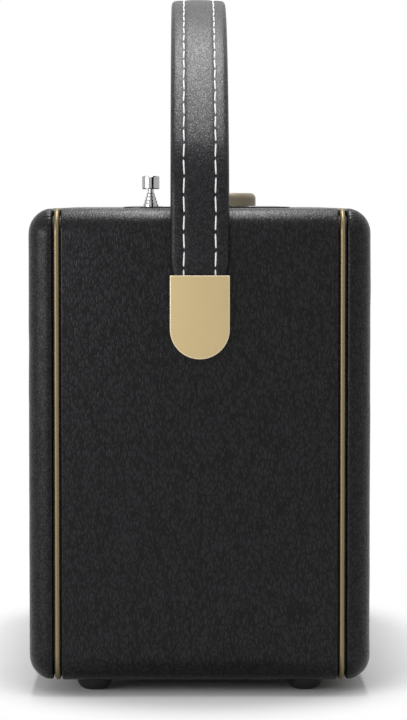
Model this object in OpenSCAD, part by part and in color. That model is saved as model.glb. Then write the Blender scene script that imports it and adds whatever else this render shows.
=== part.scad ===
// Leather portable radio: padded cabinet, carrying handle, top controls and telescopic antenna.
// Millimetres. The origin is on the floor under the middle of the cabinet.
// +X is the user's right, the front faces -Y, +Z is up.

/* [Cabinet] */
// Cabinet width over the leather, end to end
body_w = 270; // [262:1:300]
// Cabinet depth over both padded frames
body_d = 135; // [130:1:150]
// Cabinet height without the feet
body_h = 187; // [180:1:210]
// Corner radius of the cabinet outline
body_corner_r = 10.5; // [10:0.5:12]
// Thickness of the leather cover
leather_t = 1.2; // [0.8:0.1:1.4]
// Thickness of the carcass boards
carcass_t = 9; // [7:0.5:9]

/* [Frames and bead] */
// Thickness of the padded frames, also the radius of their outer edge
frame_t = 9.8; // [8:0.2:10]
// Width of the frame from the outside to its opening
frame_face_w = 16; // [15:0.5:20]
// Radius of the frame's inner lip
frame_lip_r = 3; // [1:0.5:4]
// Diameter of the bead
bead_d = 2.2; // [1.6:0.1:2.6]
// Gap on each side of the bead
bead_gap = 0.5; // [0.3:0.1:0.8]
// Thickness of the neck that carries the bead
bead_neck_t = 1.2; // [0.8:0.1:1.4]
// Depth of the clamped web below the leather
bead_web_in = 3; // [2.4:0.2:4]
// Width of the clamped web
bead_web_w = 6; // [4:0.5:6]

/* [Feet] */
// Height of the feet
foot_h = 5.5; // [4:0.5:8]
// Diameter of the feet
foot_d = 14; // [11:0.5:18]
// Radius of the feet's lower edge
foot_edge_r = 4; // [2:0.5:4]
// Distance of the feet from the cabinet ends
foot_inset = 22; // [16:1:40]
// Distance between the front and rear feet
foot_pitch = 84; // [70:1:90]

/* [Handle] */
// Width of the strap
strap_w = 23; // [20:0.5:26]
// Thickness of the strap
strap_t = 5; // [4:0.5:6]
// Radius of the strap's long edges
strap_edge_r = 1.8; // [1:0.1:1.9]
// Step where one length of the strap enters the next
strap_seam = 0.05; // [0.04:0.01:0.1]
// Overlap of the strap's lengths
strap_lap = 1; // [0.6:0.1:1]
// Gap between the strap and the cabinet ends
strap_gap = 0.3; // [0.2:0.1:0.8]
// Height of the strap's middle above the point where it starts to bend
handle_rise = 88.3; // [80:0.1:110]
// Middle radius of the strap at its two shoulders
shoulder_r = 43.5; // [36:0.5:50]
// Depth below the cabinet top at which the strap starts to bend
shoulder_drop = 1.3; // [0:0.1:4]
// Depth of the handle pivots below the cabinet top
pivot_drop = 47.1; // [40:0.1:60]
// Width of the end caps
cap_w = 23.4; // [21:0.1:27]
// Height of the caps' flat edge above the pivot
cap_top = 21; // [16:0.5:26]
// Thickness of the caps' outer plate
cap_plate_t = 1.6; // [1:0.1:2.4]
// Thickness of the caps' side walls
cap_wall = 0.9; // [0.6:0.1:1.4]
// Clearance of the strap's ends in the caps
cap_fit = 0.1; // [0.05:0.05:0.3]
// Diameter of the pivot studs
stud_d = 6; // [5:0.5:8]
// Radial clearance of the studs in their bushes
stud_clear = 0.05; // [0.03:0.01:0.1]
// Outside diameter of the pivot bushes
bush_d = 10; // [9:0.5:13]
// Diameter of the bush flanges inside the cabinet
bush_flange_d = 16; // [15:0.5:20]
// Thickness of the bush flanges
bush_flange_t = 1.2; // [0.8:0.1:2]
// Width of the nuts on the studs, across their flats
nut_w = 10; // [9:0.5:14]
// Thickness of the nuts
nut_t = 5; // [3:0.5:7]

/* [Antenna] */
// Antenna position left of the middle
antenna_x = 95; // [90:1:97]
// Antenna position behind the middle
antenna_y = 19.6; // [18:0.1:20]
// Diameter of the rod
rod_d = 2.5; // [2:0.1:3]
// Wall of each tube
tube_wall = 0.35; // [0.25:0.05:0.4]
// Radial clearance between the tubes
tube_clear = 0.1; // [0.05:0.01:0.1]
// Step from one tube's end to the next
tube_step = 1.4; // [1:0.1:2]
// Length over which each tube's end is rounded in
tube_round = 0.9; // [0.4:0.1:1]
// Length of neck between the last tube and the tip
neck_l = 1.5; // [0.8:0.1:2]
// Diameter of the tip
tip_d = 7.1; // [6.6:0.1:8]
// Length of the tip
tip_l = 5.3; // [4:0.1:8]
// Depth of the base tube's end below the cabinet top
antenna_depth = 128; // [122:1:140]
// Thickness of the base tube's plug
plug_t = 1.5; // [1:0.5:3]
// Depth of the clamp below the cabinet top
clamp_drop = 80; // [60:1:100]
// Thickness of the clamp
clamp_t = 6; // [4:0.5:10]
// Width of the clamp
clamp_w = 14; // [12:0.5:18]

/* [Control panel] */
// Length of the panel
panel_w = 220; // [216:1:228]
// Depth of the panel
panel_d = 67; // [66:0.5:70]
// Offset of the panel to the front
panel_front = 3; // [2.5:0.1:3.5]
// Corner radius of the panel
panel_r = 9; // [6:0.5:12]
// Height of the panel above the leather
panel_proud = 0.5; // [0.4:0.1:1.2]
// Thickness of the panel below the leather's surface
panel_sink = 2.2; // [1.8:0.1:3]
// Width of the lip that rests on the leather
panel_lip = 4; // [2:0.5:4]
// Clearance of the panel in its cut-out
panel_fit = 0.3; // [0.2:0.1:0.5]
// Clearance of the antenna and shafts in the panel
hole_fit = 0.3; // [0.2:0.1:0.5]

/* [Dial] */
// Length of the dial window
window_w = 96; // [92:1:98]
// Depth of the dial window
window_d = 20; // [16:0.5:21]
// Position of the window behind the middle
window_y = 4; // [3.5:0.1:4.5]
// Thickness of the lens
lens_t = 1.6; // [1:0.1:2]
// Ledge that carries the lens
lens_lip = 2; // [1:0.1:2]
// Clearance round the lens
lens_fit = 0.15; // [0.05:0.05:0.3]
// Wall of the skirt that carries the dial plate
skirt_t = 2; // [1.2:0.1:2]
// Depth of the dial plate below the panel
dial_drop = 7; // [6:0.1:7.5]
// Thickness of the dial plate
dial_t = 1; // [0.6:0.1:1.5]
// Travel of the pointer to each side
pointer_travel = 40; // [30:1:40]
// Width of the pointer's needle
needle_w = 1; // [0.6:0.1:2]
// Height of the needle above the dial plate
needle_lift = 1.6; // [1:0.1:2]
// Length of the pointer's carriage
carriage_l = 10; // [8:0.5:12]
// Outside size of the carriage
carriage_d = 6; // [5:0.2:6.4]
// Diameter of the pointer's rail
rail_d = 3; // [2.5:0.1:3.4]
// Radial clearance of the carriage on its rail
rail_clear = 0.1; // [0.05:0.01:0.1]
// Position of the rail behind the middle
rail_y = 21; // [20.7:0.1:21.2]
// Depth of the rail below the panel's underside
rail_drop = 11.8; // [11.5:0.1:12.3]
// Half distance between the rail's hangers
hanger_x = 57; // [56:0.5:60]
// Thickness of the rail's hangers
hanger_t = 4; // [3:0.5:4]
// Width of the rail's hangers
hanger_w = 7; // [6:0.5:8]

/* [Knobs] */
// Distance of each knob from the middle
knob_x = 72; // [70:0.5:74]
// Position of the knobs in front of the middle
knob_front = 10.3; // [10:0.1:10.6]
// Diameter of the knobs
knob_d = 26; // [22:0.5:30]
// Height of the knobs
knob_h = 5.3; // [4:0.1:8]
// Radius of the knobs' top edge
knob_edge_r = 2.2; // [1:0.1:2.5]
// Gap under the knobs
knob_gap = 0.3; // [0.3:0.1:1]
// Diameter of the raised seat under each knob
knob_seat_d = 18; // [12:1:20]
// Height of the raised seat
knob_seat_h = 0.15; // [0.1:0.05:0.2]
// Diameter of the control shafts
shaft_d = 6; // [5:0.5:6]
// Depth of the shafts in the knobs
shaft_grip = 2.8; // [2:0.1:3.2]
// Radial clearance of the shafts in their bearings
shaft_clear = 0.08; // [0.03:0.01:0.1]
// Diameter of the volume control's case
pot_d = 24; // [20:0.5:28]
// Height of the volume control's case
pot_h = 9; // [7:0.5:12]
// Diameter of the volume control's neck
pot_neck_d = 9; // [8.5:0.5:11]
// Height of the volume control's neck above the chassis
pot_neck_h = 6; // [4:0.5:10]
// Depth of the shafts in the tuning gang and the volume control
shaft_in = 6; // [4:0.5:6]
// Size of the tuning gang's case
gang_w = 27; // [22:1:27]
// Height of the tuning gang's case
gang_h = 20; // [16:1:26]

/* [Dial cord] */
// Radius at which the cord runs on the shaft's pulley and the posts
cord_run_r = 5.1; // [4.6:0.1:5.1]
// Diameter of the cord
cord_d = 0.8; // [0.5:0.1:0.9]
// Clearance between the cord and its pulley
cord_clear = 0.1; // [0.05:0.05:0.2]
// Height of the flanges beyond the cord's line
cord_flange = 1; // [0.6:0.1:1.2]
// Half height of the pulley and post heads
cord_head = 2; // [1.4:0.1:2.2]
// Height of the cord above the chassis
cord_lift = 5; // [4:0.1:5.2]
// Distance of the left posts from the middle
post_x = 54; // [50:0.5:54]

/* [Buttons] */
// Diameter of the buttons
button_d = 9; // [7:0.5:9]
// Height of the buttons above the panel
button_h = 1; // [0.6:0.1:1.6]
// Distance between the buttons
button_pitch = 24; // [20:0.5:26]
// Position of the buttons in front of the middle
button_front = 17; // [16.8:0.1:18]
// Width of the flange that holds each button in
button_flange = 0.9; // [0.6:0.1:1]
// Thickness of the button flange
button_flange_t = 1; // [0.8:0.1:1.6]
// Clearance round the buttons
button_fit = 0.25; // [0.15:0.05:0.3]
// Travel of the buttons
button_travel = 1.2; // [0.8:0.1:1.5]
// Size of the switches
switch_w = 6; // [5:0.5:7]
// Height of the switches
switch_h = 3.4; // [3:0.1:4.5]
// Width of the circuit board under the buttons
switch_board_d = 12; // [9:0.5:12]
// Diameter of the posts that carry the switch board
switch_post_d = 5; // [4:0.5:6]

/* [Chassis] */
// Depth of the chassis floor below the cabinet top
chassis_drop = 24; // [24:0.5:30]
// Length of the chassis
chassis_w = 228; // [222:1:236]
// Depth of the chassis
chassis_d = 56; // [55:0.5:57]
// Sheet thickness of the chassis
chassis_t = 1.2; // [0.8:0.1:2]
// Diameter of the panel's bosses
boss_d = 8; // [6:0.5:8]
// Distance of the front bosses from the middle
boss_front_x = 90; // [89:0.5:96]
// Distance of the rear bosses from the middle
boss_rear_x = 84; // [83:0.5:85]
// Position of the front bosses in front of the panel's middle
boss_front_y = 21; // [19:0.5:22]
// Position of the rear bosses behind the panel's middle
boss_rear_y = 21; // [19:0.5:21]

/* [Screws] */
// Shank diameter of the screws
screw_d = 2.8; // [2.4:0.1:3]
// Head diameter of the screws
screw_head_d = 6; // [5:0.5:6.5]
// Head height of the screws
screw_head_h = 1.8; // [1.2:0.1:2.4]
// Length of the screws in the second piece
screw_bite = 6; // [4:0.5:7]
// Clearance round the shanks
screw_fit = 0.05; // [0.03:0.01:0.1]

/* [Front and speaker] */
// Thickness of the baffle
baffle_t = 8; // [6:0.5:10]
// Clearance of the boards in the cabinet
board_fit = 0.3; // [0.2:0.1:0.5]
// Thickness of the grille board
grille_t = 5; // [4:0.5:6]
// Width of the grille board's border
grille_border = 10; // [8:0.5:14]
// Thickness of the grille cloth
cloth_t = 0.8; // [0.5:0.1:1.2]
// Diameter of the speaker's flange
speaker_d = 104; // [96:1:110]
// Width of the speaker's flange
speaker_rim = 6; // [6:0.5:7]
// Sheet thickness of the speaker's basket
basket_t = 1.5; // [1:0.1:2]
// Depth of the speaker's basket
basket_h = 25; // [22:0.5:30]
// Diameter of the basket's bottom
basket_bottom_d = 56; // [52:0.5:60]
// Width of the speaker's surround
surround_w = 4; // [3.6:0.1:5]
// Thickness of the surround
surround_t = 0.7; // [0.5:0.1:0.9]
// Thickness of the cone
cone_t = 0.8; // [0.5:0.1:1]
// Diameter of the voice coil's former
coil_d = 26; // [24:0.5:27]
// Wall of the voice coil's former
coil_t = 0.6; // [0.4:0.1:0.8]
// Gap on both sides of the voice coil
coil_gap = 0.9; // [0.6:0.1:1]
// Diameter of the magnet
magnet_d = 62; // [56:1:70]
// Thickness of the magnet ring
magnet_t = 12; // [8:0.5:16]
// Thickness of the magnet's plates
plate_t = 4; // [3:0.5:5]
// Number of openings in the basket
basket_windows = 6; // [4:1:8]

/* [Rear panel] */
// Thickness of the rear panel
rear_t = 4.5; // [4:0.1:5.5]
// Width of the battens behind the rear panel
batten_w = 12; // [10:0.5:12]
// Depth of the battens
batten_d = 12; // [10:0.5:16]
// Position of the screws inside the panel's edge
rear_screw_in = 3.5; // [3.4:0.1:4]
// Distance of the sockets from the middle
socket_x = 88; // [84:1:94]
// Height of the earphone socket above the cabinet's underside
ear_z = 76; // [70:1:90]
// Height of the charging socket above the cabinet's underside
charge_z = 52; // [46:1:56]
// Bore of the earphone socket
ear_bore = 3.6; // [3.5:0.1:3.7]
// Outside diameter of the socket necks
socket_neck_d = 8; // [7.6:0.1:10]
// Size of the socket bodies
socket_w = 12; // [11:0.5:16]
// Depth of the socket bodies behind the panel
socket_l = 13; // [11:0.5:18]
// Bore of the charging socket
charge_bore = 5.6; // [5:0.1:6]
// Pin of the charging socket
charge_pin = 2; // [1.6:0.1:2.4]
// Depth of the pin's tip inside the charging socket's mouth
charge_pin_in = 3; // [2:0.5:5]
// Thickness of material behind the sockets' bores
socket_floor = 3; // [1:0.5:4]
// Length of the ventilation slots
vent_l = 70; // [50:1:80]
// Distance of each group of slots from the middle
vent_x = 52.5; // [48:0.5:60]
// Width of the ventilation slots
vent_w = 3; // [2:0.1:3.5]
// Distance between the ventilation slots
vent_pitch = 6; // [5:0.1:6.4]
// Number of ventilation slots in each group
vent_n = 5; // [3:1:5]
// Height of the lowest slot above the cabinet's underside
vent_z = 126; // [122:1:128]

/* [Battery] */
// Height of the door's lower edge above the cabinet's underside
door_z = 36; // [35:0.5:44]
// Thickness of the door
door_t = 4; // [3.4:0.1:4]
// Gap round the door
door_gap = 0.4; // [0.3:0.1:0.6]
// Diameter of the door's hinge pins
hinge_d = 2; // [1.6:0.1:2.2]
// Radial clearance of the hinge pins
hinge_clear = 0.1; // [0.05:0.01:0.1]
// Length of the hinge pins
hinge_l = 3; // [2:0.5:4]
// Diameter of the finger notch
notch_d = 18; // [12:1:24]
// Depth of the finger notch
notch_t = 1.6; // [1:0.1:2]
// Diameter of a cell
cell_d = 26; // [25:0.1:26.2]
// Length of a cell with its nub
cell_l = 50; // [48:0.1:50.5]
// Diameter of the cells' nub
nub_d = 7; // [5:0.5:9]
// Length of the cells' nub
nub_l = 1.6; // [1:0.1:2.5]
// Clearance of the cells in the tray
cell_fit = 0.4; // [0.3:0.1:0.8]
// Gap between the two cells of a row
cell_gap = 0.1; // [0.05:0.05:0.3]
// Wall of the battery tray
tray_t = 2; // [1.5:0.1:3]
// Width of the tray's flange
tray_flange = 8; // [6:0.5:9]
// Thickness of the contacts
contact_t = 0.8; // [0.5:0.1:1]
// Reach of the contacts to the cells
contact_reach = 3.2; // [2:0.1:4]
// Size of the contacts
contact_w = 18; // [12:1:22]
// Diameter of the contacts' raised pad
contact_d = 8; // [6:0.5:10]

/* [Electronics] */
// Length of the main board
board_l = 80; // [70:1:86]
// Height of the main board
board_h = 84; // [70:1:90]
// Thickness of the circuit boards
board_t = 1.6; // [1:0.1:2]
// Height of the main board's lower edge above the cabinet's underside
board_z = 40; // [30:1:46]
// Length of the standoffs
standoff_l = 7; // [5:0.5:10]
// Diameter of the standoffs
standoff_d = 6; // [5:0.5:7]
// Distance of the standoffs from the board's edges
standoff_in = 6; // [5:0.5:8]
// Diameter of the large capacitors
cap_can_d = 13; // [8:0.5:14]
// Height of the large capacitors
cap_can_h = 20; // [12:1:24]
// Size of the amplifier chip
chip_w = 16; // [10:0.5:18]
// Height of the amplifier chip
chip_h = 3; // [2:0.1:5]
// Size of the screened tuner box
tuner_w = 30; // [24:0.5:34]
// Height of the screened tuner box
tuner_h = 9; // [6:0.5:12]

/* [Hidden] */
$fn = 64;

// Cabinet levels and walls
z_bot = foot_h;
z_top = foot_h + body_h;
z_mid = foot_h + body_h / 2;
x_end = body_w / 2;
wall = leather_t + carcass_t;
cav_w = body_w - 2 * wall;
cav_h = body_h - 2 * wall;
bead_zone = bead_d + 2 * bead_gap;
frame_back = body_d / 2 - frame_t;
sleeve_half = frame_back - bead_zone;
bead_y = sleeve_half + bead_zone / 2;
open_w = body_w - 2 * frame_face_w;
open_h = body_h - 2 * frame_face_w;

// Handle curve: two shoulder arcs that run into one large arc
pivot_z = z_top - pivot_drop;
strap_in = x_end + strap_gap;
strap_x = strap_in + strap_t / 2;
spring_z = z_top - shoulder_drop;
shoulder_x = strap_x - shoulder_r;
arch_r = (pow(shoulder_x, 2) + pow(handle_rise, 2) - pow(shoulder_r, 2)) / (2 * (handle_rise - shoulder_r));
arch_z = spring_z + handle_rise - arch_r;
arch_a = atan2(shoulder_x, arch_r - handle_rise);
cap_pocket_w = cap_w - 2 * cap_wall;
wall_in = x_end - wall;
nut_x = wall_in - bush_flange_t - strap_gap;

// Antenna levels and radii; sections are counted from the rod to the base tube
base_k = 5;
panel_z = z_top + panel_proud;
antenna_z = z_top - antenna_depth;
tube_pitch = tube_wall + tube_clear;
tip_z = panel_z + (base_k - 1) * tube_step + neck_l;
tube_foot_z = antenna_z + plug_t + tube_clear;

// Panel levels
panel_under = z_top - panel_sink;
panel_y = -panel_front;
cut_w = panel_w - 2 * panel_lip;
cut_d = panel_d - 2 * panel_lip;
cut_r = max(panel_r - panel_lip, 1);
dial_z = panel_under - dial_drop;
lens_z = panel_z - lens_t;
rebate_w = window_w + 2 * lens_lip;
rebate_d = window_d + 2 * lens_lip;
rail_z = panel_under - rail_drop;
chassis_z = z_top - chassis_drop;
cord_z = chassis_z + cord_lift;
knob_y = -knob_front;
knob_z = panel_z + knob_gap;
shaft_top = knob_z + shaft_grip;
post_y = rail_y - cord_run_r;
button_y = -button_front;
flange_top = panel_under - button_fit;
flange_low = flange_top - button_flange_t;
switch_top = flange_low - button_travel - button_fit;
switch_board_z = switch_top - switch_h;
boss_points = [
    [-boss_front_x, panel_y - boss_front_y], [boss_front_x, panel_y - boss_front_y],
    [-boss_rear_x, panel_y + boss_rear_y], [boss_rear_x, panel_y + boss_rear_y]
];

// Front, speaker and rear levels
baffle_y = -frame_back + baffle_t;
speaker_r = speaker_d / 2;
basket_r = speaker_r - speaker_rim;
cone_r = basket_r - surround_w;
cone_z = surround_t + 0.4 * surround_w;
cone_low = basket_h - surround_w - plate_t / 2;
coil_r = coil_d / 2;
magnet_gap_r = coil_r + coil_gap;
pole_r = coil_r - coil_t - coil_gap;
magnet_z = basket_h + plate_t;
magnet_end = magnet_z + magnet_t;
rear_out = frame_back + rear_t;
bore_y = frame_back - socket_l + socket_floor;
bore_l = rear_out - bore_y;
screw_x = open_w / 2 - board_fit - rear_screw_in;
screw_z = open_h / 2 - board_fit - rear_screw_in;
frame_screw_in = (frame_face_w + wall) / 2 + board_fit / 2;

// Battery sizes
bay_w = 2 * cell_l + 3 * cell_gap + 2 * (contact_t + contact_reach);
bay_h = 2 * cell_d + 3 * cell_fit;
bay_d = cell_d + 2 * cell_fit;
door_w = bay_w + 2 * tray_t;
door_h = bay_h + 2 * tray_t;
door_low = z_bot + door_z;
door_mid = door_low + door_h / 2;
hinge_y = rear_out - door_t / 2;
hinge_z = door_low + door_t / 2;
bay_back = frame_back - bay_d;
cell_y = bay_back + cell_fit + cell_d / 2;
cell_up = (cell_d + cell_fit) / 2;
board_x = wall_in - standoff_l;
board_mid_z = z_bot + board_z + board_h / 2;

// Rounded rectangle about its middle
module rounded_rect(w, h, r) {
    union() {
        square([w - 2 * r, h], center = true);
        square([w, h - 2 * r], center = true);
        for (sx = [-1, 1], sy = [-1, 1])
            translate([sx * (w / 2 - r), sy * (h / 2 - r)]) circle(r);
    }
}

// Carries a profile round an upright rounded rectangle: profile x runs inward, profile y runs along +Y
module ring(w, h, r) {
    for (s = [0, 180]) rotate([0, s, 0]) {
        translate([-w / 2, 0, 0]) linear_extrude(h - 2 * r, center = true) children();
        translate([0, 0, -h / 2]) rotate([0, -90, 0]) linear_extrude(w - 2 * r, center = true) children();
        translate([w / 2 - r, 0, -h / 2 + r]) ring_corner(r) children();
        translate([-w / 2 + r, 0, -h / 2 + r]) rotate([0, 90, 0]) ring_corner(r) children();
    }
}

// One quarter turn of a ring's profile
module ring_corner(r) {
    rotate([-90, 0, 0]) rotate_extrude(angle = 90) intersection() {
        translate([r, 0]) mirror([1, 0]) children();
        translate([0, -body_d]) square([r + bead_d, 2 * body_d]);
    }
}

// Upright outline drawn in Y and Z, made thick along +X
module along_x(x0, l) {
    translate([x0, 0, 0]) rotate([90, 0, 90]) linear_extrude(l) children();
}

// Turned piece with its axis along +Y
module turned_y(x, y, z) {
    translate([x, y, z]) rotate([-90, 0, 0]) children();
}

// Screw along +Z with its head below z = 0
module screw(grip) {
    translate([0, 0, -screw_head_h]) cylinder(d = screw_head_d, h = screw_head_h);
    cylinder(d = screw_d, h = grip + screw_bite);
}

// Hole for that screw
module screw_hole(grip) {
    translate([0, 0, -0.5]) cylinder(d = screw_d + 2 * screw_fit, h = grip + screw_bite + 1);
}

// Outline of an end cap about its pivot: round below, flat above
module cap_outline(w, top) {
    circle(d = w);
    translate([-w / 2, 0]) square([w, top]);
}

// Holes for the pivot bushes through both end walls
module bush_holes() {
    for (s = [-1, 1])
        translate([s * (x_end - wall / 2), 0, pivot_z]) rotate([0, 90, 0])
            cylinder(d = bush_d + 2 * screw_fit, h = wall + 2, center = true);
}

// Cut-out for the control panel through the top
module panel_cut() {
    translate([0, panel_y, z_top - wall - 1]) linear_extrude(wall + 2)
        rounded_rect(cut_w + 2 * panel_fit, cut_d + 2 * panel_fit, cut_r);
}

module carcass() {
    color("#b08a5a") difference() {
        translate([0, 0, z_mid])
            ring(body_w - 2 * leather_t, body_h - 2 * leather_t, body_corner_r - leather_t)
                translate([0, -sleeve_half]) square([carcass_t, 2 * sleeve_half]);
        panel_cut();
        bush_holes();
    }
}

module leather_wrap() {
    color("#26272a") difference() {
        translate([0, 0, z_mid]) ring(body_w, body_h, body_corner_r)
            translate([0, -sleeve_half]) square([leather_t, 2 * sleeve_half]);
        panel_cut();
        bush_holes();
    }
}

// Section of a padded frame: quarter-round outside, small round lip inside
module frame_section() {
    difference() {
        square([frame_face_w, frame_t]);
        difference() {
            translate([-1, -1]) square([frame_t + 1, frame_t + 2]);
            translate([frame_t, 0]) circle(frame_t);
            translate([-2, -2]) square([frame_t + 3, 2]);
        }
        difference() {
            translate([frame_face_w - frame_lip_r, frame_t - frame_lip_r]) square(frame_lip_r + 1);
            translate([frame_face_w - frame_lip_r, frame_t - frame_lip_r]) circle(frame_lip_r);
        }
    }
}

module rear_frame() {
    color("#222326") translate([0, frame_back, z_mid]) ring(body_w, body_h, body_corner_r) frame_section();
}

module front_frame() {
    color("#222326") difference() {
        mirror([0, 1, 0]) rear_frame();
        baffle_screw_places() screw_hole(baffle_t);
    }
}

// Section of the bead with the web that is clamped behind it
module bead_section() {
    translate([bead_d / 2, 0]) circle(d = bead_d);
    translate([bead_d / 2, -bead_neck_t / 2]) square([bead_web_in, bead_neck_t]);
    translate([bead_web_in, -bead_zone / 2]) square([bead_web_w, bead_zone]);
}

module rear_bead() {
    color("#b9a06a") translate([0, bead_y, z_mid]) ring(body_w, body_h, body_corner_r) bead_section();
}

module front_bead() {
    color("#b9a06a") mirror([0, 1, 0]) rear_bead();
}

module feet() {
    color("#161616") for (sx = [-1, 1], sy = [-1, 1])
        translate([sx * (x_end - foot_inset), sy * foot_pitch / 2, 0]) rotate_extrude() {
            square([foot_d / 2 - foot_edge_r, foot_h]);
            translate([0, foot_edge_r]) square([foot_d / 2, foot_h - foot_edge_r]);
            intersection() {
                translate([foot_d / 2 - foot_edge_r, foot_edge_r]) circle(foot_edge_r);
                square([foot_d, foot_h]);
            }
        }
}

// Screws that draw the front frame to the baffle
module baffle_screw_places() {
    for (sx = [-1, 0, 1], sz = [-1, 1])
        translate([sx * (x_end - 3 * frame_screw_in), baffle_y, z_mid + sz * (body_h / 2 - frame_screw_in)])
            rotate([90, 0, 0]) children();
}

module baffle_screws() {
    color("#8c8c8c") baffle_screw_places() screw(baffle_t);
}

module front_baffle() {
    color("#8d6f4a") difference() {
        translate([-cav_w / 2 + board_fit, -frame_back, z_mid - cav_h / 2 + board_fit])
            cube([cav_w - 2 * board_fit, baffle_t, cav_h - 2 * board_fit]);
        turned_y(0, -frame_back - 1, z_mid) cylinder(r = basket_r, h = baffle_t + 2);
        baffle_screw_places() screw_hole(baffle_t);
        speaker_screw_places() screw_hole(basket_t);
    }
}

module grille_board() {
    color("#1a1a1a") translate([0, -frame_back, z_mid]) rotate([90, 0, 0]) linear_extrude(grille_t)
        difference() {
            square([open_w - 2 * board_fit, open_h - 2 * board_fit], center = true);
            rounded_rect(open_w - 2 * grille_border, open_h - 2 * grille_border, grille_border);
        }
}

module grille_cloth() {
    color("#2c2a26") translate([0, -frame_back - grille_t, z_mid]) rotate([90, 0, 0])
        linear_extrude(cloth_t) square([open_w - 2 * board_fit, open_h - 2 * board_fit], center = true);
}

// Speaker pieces are turned about +Y from the back of the baffle
module speaker_turn() {
    turned_y(0, baffle_y, z_mid) children();
}

module speaker_basket() {
    side = basket_bottom_d / 2;
    color("#3a3a3c") difference() {
        speaker_turn() difference() {
            rotate_extrude() polygon([
                [basket_r, 0], [speaker_r, 0], [speaker_r, basket_t], [basket_r + basket_t, basket_t],
                [side, basket_h], [magnet_gap_r, basket_h], [magnet_gap_r, basket_h - basket_t],
                [side - basket_t, basket_h - basket_t], [basket_r, 2 * basket_t]
            ]);
            for (k = [0 : basket_windows - 1]) rotate(k * 360 / basket_windows)
                translate([(basket_r + side) / 2, 0, basket_h / 2])
                    cube([basket_r - side, basket_r / 3, basket_h / 2], center = true);
        }
        speaker_screw_places() screw_hole(basket_t);
    }
}

module speaker_surround() {
    mid = cone_r + surround_w / 2;
    roll = surround_w / 2;
    color("#1d1d1f") speaker_turn() rotate_extrude() difference() {
        translate([mid, cone_z]) circle(roll);
        translate([mid, cone_z]) circle(roll - surround_t);
        translate([mid - surround_w, cone_z]) square([2 * surround_w, surround_w]);
    }
}

module speaker_cone() {
    color("#2f2d2b") speaker_turn() rotate_extrude() {
        polygon([
            [cone_r, cone_z], [cone_r + surround_t, cone_z], [cone_r + surround_t, cone_z + cone_t],
            [coil_r, cone_low + cone_t], [coil_r - coil_t, cone_low + cone_t], [coil_r - coil_t, cone_low]
        ]);
        translate([coil_r - coil_t, cone_low]) square([coil_t, magnet_z - cone_low]);
    }
}

module speaker_dust_cap() {
    dome_r = coil_d * 0.8;
    half = coil_r - coil_t;
    color("#242424") speaker_turn() translate([0, 0, cone_low]) intersection() {
        translate([0, 0, sqrt(pow(dome_r, 2) - pow(half, 2))]) difference() {
            sphere(dome_r);
            sphere(dome_r - cone_t);
        }
        translate([0, 0, -dome_r]) cylinder(r = half, h = dome_r);
    }
}

module speaker_magnet() {
    side = basket_bottom_d / 2 - plate_t / 4;
    color("#4a4a4d") speaker_turn() rotate_extrude() polygon([
        [0, basket_h], [pole_r, basket_h], [pole_r, magnet_end], [magnet_gap_r + plate_t, magnet_end],
        [magnet_gap_r + plate_t, magnet_z], [magnet_gap_r, magnet_z], [magnet_gap_r, basket_h],
        [side, basket_h], [side, magnet_z], [magnet_d / 2, magnet_z], [magnet_d / 2, magnet_end],
        [side, magnet_end], [side, magnet_end + plate_t], [0, magnet_end + plate_t]
    ]);
}

module speaker_screw_places() {
    for (a = [45 : 90 : 315])
        translate([0, baffle_y + basket_t, z_mid]) rotate([90, 0, 0]) rotate(a)
            translate([speaker_r - speaker_rim / 2 + basket_t / 4, 0, 0]) children();
}

module speaker_screws() {
    color("#8c8c8c") speaker_screw_places() scale_screw();
}

// Small-headed screw that stays on the speaker's flange
module scale_screw() {
    translate([0, 0, -screw_head_h]) cylinder(d = screw_d + basket_t, h = screw_head_h);
    cylinder(d = screw_d, h = basket_t + screw_bite);
}

module rear_battens() {
    color("#a07c4e") translate([0, frame_back, z_mid]) difference() {
        rotate([90, 0, 0]) linear_extrude(batten_d) difference() {
            square([cav_w - 2 * screw_fit, cav_h - 2 * screw_fit], center = true);
            square([cav_w - 2 * batten_w, cav_h - 2 * batten_w], center = true);
        }
        translate([0, -frame_back, -z_mid]) rear_screw_places() screw_hole(rear_t);
    }
}

module rear_screw_places() {
    for (sx = [-1, 0, 1], sz = [-1, 1])
        translate([sx * screw_x, rear_out, z_mid + sz * screw_z]) rotate([90, 0, 0]) children();
}

module rear_screws() {
    color("#2a2a2a") rear_screw_places() screw(rear_t);
}

module rear_panel() {
    color("#1e1e20") difference() {
        translate([0, rear_out, z_mid]) rotate([90, 0, 0]) linear_extrude(rear_t) difference() {
            square([open_w - 2 * board_fit, open_h - 2 * board_fit], center = true);
            translate([0, door_mid - z_mid])
                square([door_w + 2 * door_gap, door_h + 2 * door_gap], center = true);
            for (sx = [-1, 1], k = [0 : vent_n - 1])
                translate([sx * vent_x, z_bot + vent_z + k * vent_pitch - z_mid])
                    rounded_rect(vent_l, vent_w, vent_w / 2 - 0.05);
            for (z = [ear_z, charge_z]) translate([-socket_x, z_bot + z - z_mid])
                circle(d = socket_neck_d + 2 * screw_fit);
        }
        translate([0, hinge_y, hinge_z]) rotate([0, 90, 0])
            cylinder(d = hinge_d + 2 * hinge_clear, h = door_w + 2 * (hinge_l + door_gap), center = true);
        rear_screw_places() screw_hole(rear_t);
    }
}

module battery_tray() {
    color("#202022") translate([0, 0, door_mid]) difference() {
        union() {
            translate([0, (bay_back - tray_t + frame_back) / 2, 0])
                cube([door_w, bay_d + tray_t, door_h], center = true);
            translate([0, frame_back - tray_t / 2, 0])
                cube([door_w + 2 * tray_flange, tray_t, door_h + 2 * tray_flange], center = true);
        }
        translate([0, bay_back + bay_d, 0]) cube([bay_w, 2 * bay_d, bay_h], center = true);
    }
}

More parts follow.
